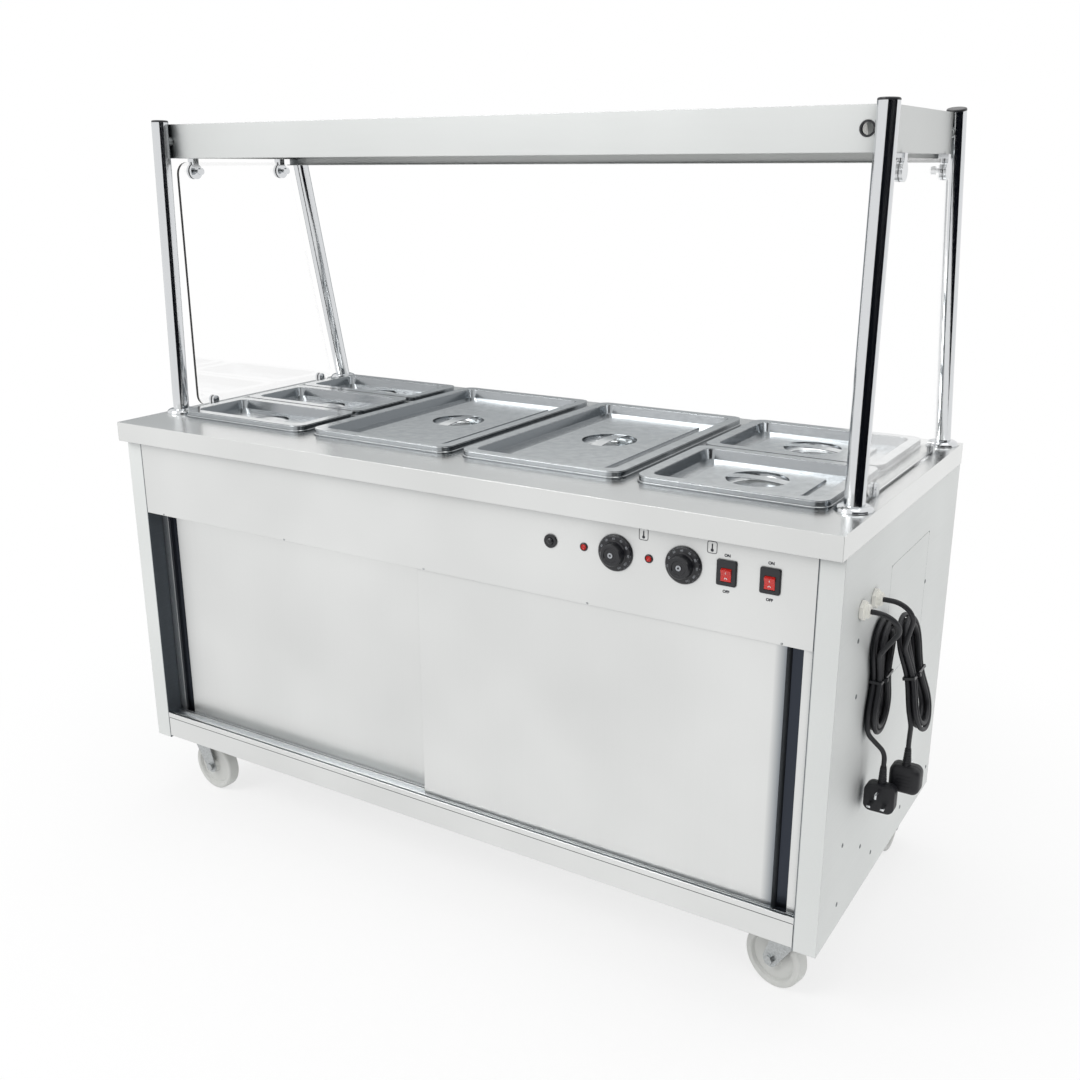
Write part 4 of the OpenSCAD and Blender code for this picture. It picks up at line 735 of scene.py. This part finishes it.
class HOTCUPBOARD_OT_stage(bpy.types.Operator):
    """Sets up the camera, the lamps, the floor and the surroundings"""

    bl_idname = "hotcupboard.stage"
    bl_label = "Stage"

    def execute(self, context):
        scene = context.scene
        scene.view_settings.view_transform = "Standard"
        data = bpy.data.cameras.new("camera")
        data.lens = scene.hot_cupboard_sizes.focal_length
        data.sensor_width = 36
        camera = bpy.data.objects.new("camera", data)
        camera.matrix_world = (
            Matrix.Translation((1.22105, -1.89944, 1.32502))
            @ Matrix.Rotation(0.5559, 4, "Z")
            @ Matrix.Rotation(math.pi / 2 - 0.3033, 4, "X")
            @ Matrix.Rotation(-0.0024, 4, "Z")
        )
        scene.collection.objects.link(camera)
        scene.camera = camera
        self.light(context, "key", (-2.2, -3.4, 3.6), (2.6, 2.0), 95)
        self.light(context, "fill", (3.6, -1.6, 2.2), (1.8, 2.4), 24)
        self.light(context, "top", (0.2, 0.6, 3.9), (3.0, 2.0), 36)
        self.floor()
        self.flag()
        self.back_wall()
        self.surroundings(scene)
        return {"FINISHED"}

    def light(self, context, name, place, size, power):
        data = bpy.data.lights.new(name, "AREA")
        data.shape, data.size, data.size_y = "RECTANGLE", *size
        data.energy = power
        lamp = bpy.data.objects.new(name, data)
        lamp.location = place
        aim = Vector((0, 0, 0.7)) - lamp.location
        lamp.rotation_euler = aim.to_track_quat("-Z", "Y").to_euler()
        context.scene.collection.objects.link(lamp)

    def seen(self, tree):
        """1 where the camera, a mirror or a view through glass sees the background."""
        ray = add(tree, "ShaderNodeLightPath").outputs
        most = ray["Is Camera Ray"]
        for other in ("Is Glossy Ray", "Is Transmission Ray"):
            either = {0: most, 1: ray[other]}
            most = add(tree, "ShaderNodeMath", {"operation": "MAXIMUM"}, either).outputs[0]
        return most

    def floor(self):
        """Pale paint that fades to white away from the trolley, so that only its shadow shows."""
        material, tree = start_material("pale_floor")
        place = add(tree, "ShaderNodeTexCoord").outputs["Object"]
        reach = add(tree, "ShaderNodeVectorMath", {"operation": "LENGTH"}, {0: place})
        fade = add(
            tree,
            "ShaderNodeMapRange",
            {"interpolation_type": "SMOOTHSTEP"},
            {"Value": reach.outputs["Value"], "From Min": 0.6, "From Max": 1.6, "To Min": 0.7},
        )
        both = {0: self.seen(tree), 1: fade.outputs[0]}
        share = add(tree, "ShaderNodeMath", {"operation": "MULTIPLY"}, both)
        paint = add(tree, "ShaderNodeBsdfDiffuse", inputs={"Color": linear("#F6F6F6")})
        white = add(tree, "ShaderNodeEmission", inputs={"Color": linear("#FFFFFF")})
        mixed = add(
            tree,
            "ShaderNodeMixShader",
            inputs={0: share.outputs[0], 1: paint.outputs[0], 2: white.outputs[0]},
        )
        add(tree, "ShaderNodeOutputMaterial", inputs={"Surface": mixed.outputs[0]})
        mesh = bpy.data.meshes.new("floor")
        corners = [(-40, -40, 0), (40, -40, 0), (40, 40, 0), (-40, 40, 0)]
        mesh.from_pydata(corners, [], [(0, 1, 2, 3)])
        mesh.materials.append(material)
        floor = bpy.data.objects.new("floor", mesh)
        bpy.context.scene.collection.objects.link(floor)

    def flag(self):
        """A dark flag behind the camera, which the tubes mirror as a stripe."""
        material, tree = start_material("dark_flag")
        cloth = add(tree, "ShaderNodeBsdfDiffuse", inputs={"Color": linear("#0C0E14")})
        add(tree, "ShaderNodeOutputMaterial", inputs={"Surface": cloth.outputs[0]})
        self.screen("flag", material, 2.75, (22, 96), 0.02, 1.9)

    def back_wall(self):
        """A dim wall that only the steel mirrors: dark at eye level, white overhead."""
        material, tree = start_material("dim_wall")
        place = add(tree, "ShaderNodeTexCoord").outputs["Object"]
        height = add(tree, "ShaderNodeSeparateXYZ", inputs={0: place}).outputs["Z"]
        span = {"Value": height, "From Min": 1.6, "From Max": 2.7}
        share = add(tree, "ShaderNodeMapRange", inputs=span).outputs[0]
        tone = add(tree, "ShaderNodeValToRGB", inputs={0: share})
        tone.color_ramp.elements[0].color = linear("#8F9396")
        tone.color_ramp.elements[1].color = linear("#FFFFFF")
        tone.color_ramp.elements.new(0.45).color = linear("#BFC3C5")
        light = add(tree, "ShaderNodeEmission", inputs={"Color": tone.outputs[0]})
        add(tree, "ShaderNodeOutputMaterial", inputs={"Surface": light.outputs[0]})
        self.screen("back_wall", material, 5.0, (190, 255), 0.1, 2.7)

    def screen(self, name, material, radius, span, low, high):
        """A bent upright screen round the trolley that only mirrors see. 0 degrees faces -Y."""
        steps = 40
        points = []
        for i in range(steps + 1):
            a = math.radians(span[0] + (span[1] - span[0]) * i / steps)
            x, y = radius * math.sin(a), -radius * math.cos(a)
            points += [(x, y, low), (x, y, high)]
        faces = [(2 * i, 2 * i + 2, 2 * i + 3, 2 * i + 1) for i in range(steps)]
        mesh = bpy.data.meshes.new(name)
        mesh.from_pydata(points, [], faces)
        mesh.materials.append(material)
        screen = bpy.data.objects.new(name, mesh)
        screen.visible_camera = False
        screen.visible_shadow = False
        screen.visible_diffuse = False
        screen.visible_transmission = False
        bpy.context.scene.collection.objects.link(screen)

    def surroundings(self, scene):
        """White to the camera, to mirrors and through glass; a plain level for the light itself."""
        world = bpy.data.worlds.new("studio")
        scene.world = world
        world.use_nodes = True
        tree = world.node_tree
        tree.nodes.clear()
        place = add(tree, "ShaderNodeTexCoord").outputs["Generated"]
        split = add(tree, "ShaderNodeSeparateXYZ", inputs={0: place})
        ramp = add(tree, "ShaderNodeValToRGB", inputs={0: split.outputs["Z"]})
        ramp.color_ramp.elements[0].color = linear("#D6D8DA")
        ramp.color_ramp.elements[1].color = linear("#FFFFFF")
        ramp.color_ramp.elements[1].position = 0.35
        lit = add(tree, "ShaderNodeBackground", inputs={0: ramp.outputs[0], 1: 0.62})
        white = add(tree, "ShaderNodeBackground", inputs={0: (1, 1, 1, 1), 1: 1.0})
        shown = add(
            tree,
            "ShaderNodeMixShader",
            inputs={0: self.seen(tree), 1: lit.outputs[0], 2: white.outputs[0]},
        )
        add(tree, "ShaderNodeOutputWorld", inputs={"Surface": shown.outputs[0]})


class HOTCUPBOARD_OT_leads(bpy.types.Operator):
    """Lays the two mains leads with their hanks, and puts a plug on each"""

    bl_idname = "hotcupboard.leads"
    bl_label = "Leads and plugs"

    def execute(self, context):
        for key, lead in LEADS.items():
            mesh = self.plug(lead["plug"], key == "b")
            hidden = ("plugs",) if key == "a" else ()
            plug = keep("plug_" + key, mesh, ["sheath", "tube"], "cabinet", hidden)
            route = lead_route(lead)
            mesh = to_mesh(tube(route, CORD), "mains_lead_" + key, 60)
            hidden = ("lead_" + key, "hank_" + key)
            piece = keep("mains_lead_" + key, mesh, ["sheath"], "cabinet", hidden)
        dress("black", "cord_ties")
        dress("nylon", "cord_glands")
        return {"FINISHED"}

    def plug(self, top, turned_round):
        """A three-pin plug under its ribbed cord grip, pins towards -Y."""
        profile = [(0, -32), (7, -32)]
        for i in range(6):
            z, r = -28 + 4.4 * i, 7.0 - 0.3 * i
            profile += [(r, z), (r, z + 2.2), (r - 0.9, z + 2.7), (r - 0.9, z + 3.9)]
        profile += [(5.2, -1.2), (4.7, 0), (0, 0)]
        work = turned(profile, 24)
        shell = [(1, -13), (0.3, -12.7), (0, -12), (0, -1.2), (0.6, -1), (0.6, -0.4), (0, -0.2)]
        shell += [(0, 5), (0.6, 8), (2, 10.4), (4.2, 12), (7, 12.8), (9, 13)]
        body = stacked(50, 48, 12, shell)
        join(work, body, Matrix.Translation((0, 0, -54)) @ Matrix.Rotation(-math.pi / 2, 4, "X"))
        for i in range(4):
            grip = rounded_block((24, 1.6, 1.8), 0.6, 2)
            join(work, grip, Matrix.Translation((0, 12.2, -45 - 6 * i)))
        for x, z, size in ((-11, -62, (6.3, 18, 4)), (11, -62, (6.3, 18, 4)), (0, -40, (4, 23, 8))):
            pin = rounded_block(size, 0.8, 2, 1)
            join(work, pin, Matrix.Translation((x, -12.5 - size[1] / 2, z)))
        if turned_round:
            work.transform(Matrix.Rotation(math.pi, 4, "Z"))
        work.transform(Matrix.Translation(top))
        return to_mesh(work, "plug")


class HOTCUPBOARD_OT_metalwork(bpy.types.Operator):
    """Gives the cabinet, the gantry and the pans their steel and glass"""

    bl_idname = "hotcupboard.metalwork"
    bl_label = "Steel and glass"

    def execute(self, context):
        dress("long_grain", "fascia", "base", "shelves", "well", "back_panel")
        dress("canopy_grain", "canopy")
        dress("top_grain", "worktop", "pan_bars")
        dress("track_grain", "door_tracks")
        dress("front_door_grain", "front_door")
        dress("rear_door_grain", "rear_door")
        dress("side_grain", "left_side", "right_side", "access_cover")
        dress("pressed", *PANS, *LIDS)
        self.seams()
        dress("tube", "gantry_tubes", "tube_flanges", "glass_clamps")
        dress("zinc", "control_gear", "castor_plates", *FORKS)
        dress("element", "heating_elements")
        dress("enamel", "canopy_lamps")
        self.grommet()
        dress("glass", "side_glass")
        dress("black", "tube_caps")
        dress("wheel", *WHEELS)
        return {"FINISHED"}

    def grommet(self):
        """The rubber ring in the canopy's cable hole, at the right end of the lamps' node."""
        mesh = NODES["canopy_lamps"].data
        mesh.materials.append(MATERIALS["sheath"])
        for face in mesh.polygons:
            if face.center.x > 0.67 and face.center.y < -0.16:
                face.material_index = len(mesh.materials) - 1

    def seams(self):
        """The dark hairlines where the fascia, the plinth and the door track meet other sheets."""
        work = bmesh.new()
        join(work, rounded_block((1418, 0.3, 1.2), 0.1, 1), Matrix.Translation((0, FASCIA_Y, 185)))
        for x in (-710, 710):
            for low, high in ((649.5, 798.5), (142.5, 184.5)):
                line = rounded_block((0.9, 0.3, high - low), 0.1, 1)
                join(work, line, Matrix.Translation((x, FASCIA_Y, (low + high) / 2)))
        keep("seams", to_mesh(work, "seams"), ["ink"], "cabinet")


class HOTCUPBOARD_OT_fasteners(bpy.types.Operator):
    """Puts the screws on the panels and the bolts on the gantry and castors"""

    bl_idname = "hotcupboard.fasteners"
    bl_label = "Screws and bolts"

    SIDE = [(-231, 642.5), (-218, 545.5), (190, 226), (-224, 288), (-119, 231), (156, 622)]
    FOOT = [(-230, 182), (-48.5, 182), (133, 182), (317, 182)]
    COVER = ((-74.5, 153.5), (507, 717))
    FASCIA = (-662, -331, 0, 331, 662)
    CASTORS = [(x, y) for x in (-690, 690) for y in (-245, 245)]

    def execute(self, context):
        width = context.scene.hot_cupboard_sizes.screw_head / MM
        (y0, y1), (z0, z1) = self.COVER
        left = self.SIDE + self.FOOT
        right = [(y, z) for y, z in left if not (y0 < y < y1 and z0 < z < z1)]
        places = [((749, y, z), (0, math.pi / 2, 0)) for y, z in right]
        places += [((-749, y, z), (0, -math.pi / 2, 0)) for y, z in left]
        mesh = repeated("side_screws", cross_head(8, 1), places, "screw", width / 8)
        keep("side_screws", mesh, [], "cabinet", ("panel_screws",))
        places = [((x, FASCIA_Y, 651.5), (math.pi / 2, 0, 0)) for x in self.FASCIA]
        mesh = repeated("fascia_screws", cross_head(8, 1.9), places, "zinc", 4 / 8)
        keep("fascia_screws", mesh, [], "cabinet")
        self.canopy_bolts()
        self.castor_bolts()
        return {"FINISHED"}

    def canopy_bolts(self):
        """A bolt from inside the canopy into each tube, through a round spacer."""
        work = bmesh.new()
        for x in (-TUBE_X, TUBE_X):
            for wall, out, tube_y in CANOPY_WALLS:
                head = turned([(0, 0), (6.2, 0), (6.5, 0.6), (6.5, 5.4), (6.2, 6), (0, 6)], 6)
                turn = Matrix.Rotation(out * math.pi / 2, 4, "X")
                place = (math.copysign(TUBE_X - 6, x), wall - out * 1.5, BOLT_Z)
                join(work, head, Matrix.Translation(place) @ turn)
                reach = abs(tube_y - wall) - 1
                spacer = turned([(0, 0), (8.5, 0), (9, 0.5), (9, reach), (0, reach)], 32)
                outside = Matrix.Translation((x, wall, BOLT_Z))
                join(work, spacer, outside @ Matrix.Rotation(-out * math.pi / 2, 4, "X"))
        mesh = to_mesh(work, "canopy_bolts")
        keep("canopy_bolts", mesh, ["zinc"], "cabinet")

    def castor_bolts(self):
        """Four bolts with washers up through each castor plate."""
        profile = [(0, 0), (10, 0), (10, -1.4), (6.6, -1.4), (6.6, -5.4), (6.1, -6), (0, -6)]
        places = [
            ((x + dx, y + dy, 134), (0, 0, 0.3 * dx + dy))
            for x, y in self.CASTORS
            for dx in (-38, 38)
            for dy in (-30.5, 30.5)
        ]
        mesh = repeated("castor_bolts", turned(profile, 6), places, "zinc")
        keep("castor_bolts", mesh, [], "cabinet")


class HOTCUPBOARD_OT_controls(bpy.types.Operator):
    """Makes the dials' numbers, the neons and the marks on the switches and the fascia"""

    bl_idname = "hotcupboard.controls"
    bl_label = "Controls"

    def execute(self, context):
        dress("black", "switch_frames", "reset_button", *KNOBS)
        dress("red", *ROCKERS)
        numeral = context.scene.hot_cupboard_sizes.numeral / MM
        for name, x in KNOBS.items():
            self.dial(name, x, numeral)
        for name, x in ROCKERS.items():
            self.rocker_marks(name, x)
        self.neons()
        self.fascia_marks()
        return {"FINISHED"}

    def dial(self, name, x, numeral):
        """Numbers and ticks round a knob's skirt, and a disc in the middle of its grip."""
        work = bmesh.new()
        first, between = -100, 32
        for i, number in enumerate(range(30, 120, 10)):
            angle = math.radians(first + between * i)
            mark = lettering(str(number), numeral, 0.3)
            place = Matrix.Rotation(-angle, 4, "Z") @ Matrix.Translation((0, 24.2, 4.9))
            join(work, mark, place)
        ring = [(1.9, 19), (4.4, 19), (4.4, 19.2), (4, 19.35), (2.3, 19.35), (1.9, 19.2), (1.9, 19)]
        join(work, turned(ring, 32))
        work.transform(on_fascia(x, CONTROL_Z))
        keep(name + "_numbers", to_mesh(work, name + "_numbers"), ["dial"], name)
        tick = rounded_block((0.5, 1.8, 0.3), 0.1, 1)
        ticks = []
        for i in range(17):
            a = math.radians(first + between / 2 * i)
            place = on_fascia(x, CONTROL_Z) @ Vector((28.2 * math.sin(a), 28.2 * math.cos(a), 3.9))
            ticks.append((place, (math.pi / 2, -a, 0)))
        mesh = repeated(name + "_ticks", tick, ticks, "dial")
        keep(name + "_ticks", mesh, [], name)

    def rocker_marks(self, name, x):
        """The upright stroke and the ring of an on-off rocker."""
        tilt = Matrix.Translation((x, -322, 743)) @ Matrix.Rotation(math.radians(8), 4, "X")
        work = bmesh.new()
        for up in (1, -1):
            if up > 0:
                mark = rounded_block((0.9, 4.2, 0.3), 0.1, 1)
            else:
                mark = turned([(1.4, 0), (2.3, 0), (2.3, 0.3), (1.4, 0.3), (1.4, 0)], 32)
            face = Matrix.Rotation(math.pi / 2 - up * math.atan2(1.7, 9), 4, "X")
            join(work, mark, tilt @ Matrix.Translation((0, -5.0, 5 * up)) @ face)
        keep(name + "_marks", to_mesh(work, name + "_marks"), ["mark"], name)

    def neons(self):
        """Ribbed red lenses in dark rings."""
        rings, lenses = bmesh.new(), bmesh.new()
        for x in NEONS:
            rim = [(5.1, 0.2), (7, 0.2), (7, 0.8), (6.4, 1.7), (5.4, 2), (5.1, 1.6), (5.1, 0.2)]
            join(rings, turned(rim, 40), on_fascia(x, CONTROL_Z))
            dome = [(0, 0.2), (5.05, 0.2), (5.05, 1.3)]
            for i in range(4):
                r = 5.0 - 1.15 * i
                dome += [(r, 1.5 + 0.25 * i), (r - 0.5, 2.2 + 0.2 * i), (r - 1.0, 1.7 + 0.25 * i)]
            join(lenses, turned(dome + [(0, 3)], 40), on_fascia(x, CONTROL_Z))
        mesh = to_mesh(rings, "neon_rings")
        keep("neon_rings", mesh, ["black"], "cabinet", ("neons",))
        mesh = to_mesh(lenses, "neon_lenses", 25)
        keep("neon_lenses", mesh, ["red"], "cabinet")

    def fascia_marks(self):
        """Thermometer signs, and ON and OFF at the switches."""
        work = bmesh.new()
        for x, z in ((430, 784), (545, 782)):
            outline = [
                (sx * 4.6 + 3 * math.cos(a), sz * 6.2 + 3 * math.sin(a))
                for sx, sz, a0 in ((1, 1, 0), (-1, 1, 90), (-1, -1, 180), (1, -1, 270))
                for a in (math.radians(a0 + 18 * k) for k in range(6))
            ]
            frame_line = tube([Vector((*p, 0)) for p in outline + outline[:1]], 1.0, 6)
            join(work, frame_line, on_fascia(x, z, 0.05))
            join(work, rounded_block((2.0, 10, 0.3), 0.1, 1), on_fascia(x, z + 0.8, 0.1))
            join(work, turned([(0, 0), (2.5, 0), (2.5, 0.2), (0, 0.2)], 24), on_fascia(x, z - 4.4))
        for x in ROCKERS.values():
            join(work, lettering("ON", 4.4, 0.2, 0.28), on_fascia(x, 773, 0.1))
            join(work, lettering("OFF", 4.4, 0.2, 0.28), on_fascia(x, 716, 0.1))
        mesh = to_mesh(work, "fascia_marks")
        keep("fascia_marks", mesh, ["ink"], "cabinet")


STEPS = (
    HOTCUPBOARD_OT_stage,
    HOTCUPBOARD_OT_leads,
    HOTCUPBOARD_OT_metalwork,
    HOTCUPBOARD_OT_fasteners,
    HOTCUPBOARD_OT_controls,
)


class HOTCUPBOARD_PT_panel(bpy.types.Panel):
    """Lists the steps that dress the trolley"""

    bl_label = "Hot Cupboard"
    bl_idname = "HOTCUPBOARD_PT_panel"
    bl_space_type = "VIEW_3D"
    bl_region_type = "UI"
    bl_category = "Hot Cupboard"

    def draw(self, context):
        for step in STEPS:
            self.layout.operator(step.bl_idname)
        for group in (context.scene.hot_cupboard_colours, context.scene.hot_cupboard_sizes):
            for name in group.__annotations__:
                self.layout.prop(group, name)


CLASSES = (HotCupboardColours, HotCupboardSizes, *STEPS, HOTCUPBOARD_PT_panel)


def register():
    for made in CLASSES:
        bpy.utils.register_class(made)
    bpy.types.Scene.hot_cupboard_colours = bpy.props.PointerProperty(type=HotCupboardColours)
    bpy.types.Scene.hot_cupboard_sizes = bpy.props.PointerProperty(type=HotCupboardSizes)


def unregister():
    del bpy.types.Scene.hot_cupboard_sizes
    del bpy.types.Scene.hot_cupboard_colours
    for made in reversed(CLASSES):
        bpy.utils.unregister_class(made)


def main():
    """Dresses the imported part."""
    register()
    make_materials(bpy.context.scene.hot_cupboard_colours)
    for step in STEPS:
        category, name = step.bl_idname.split(".")
        getattr(getattr(bpy.ops, category), name)()


if __name__ == "__main__":
    main()
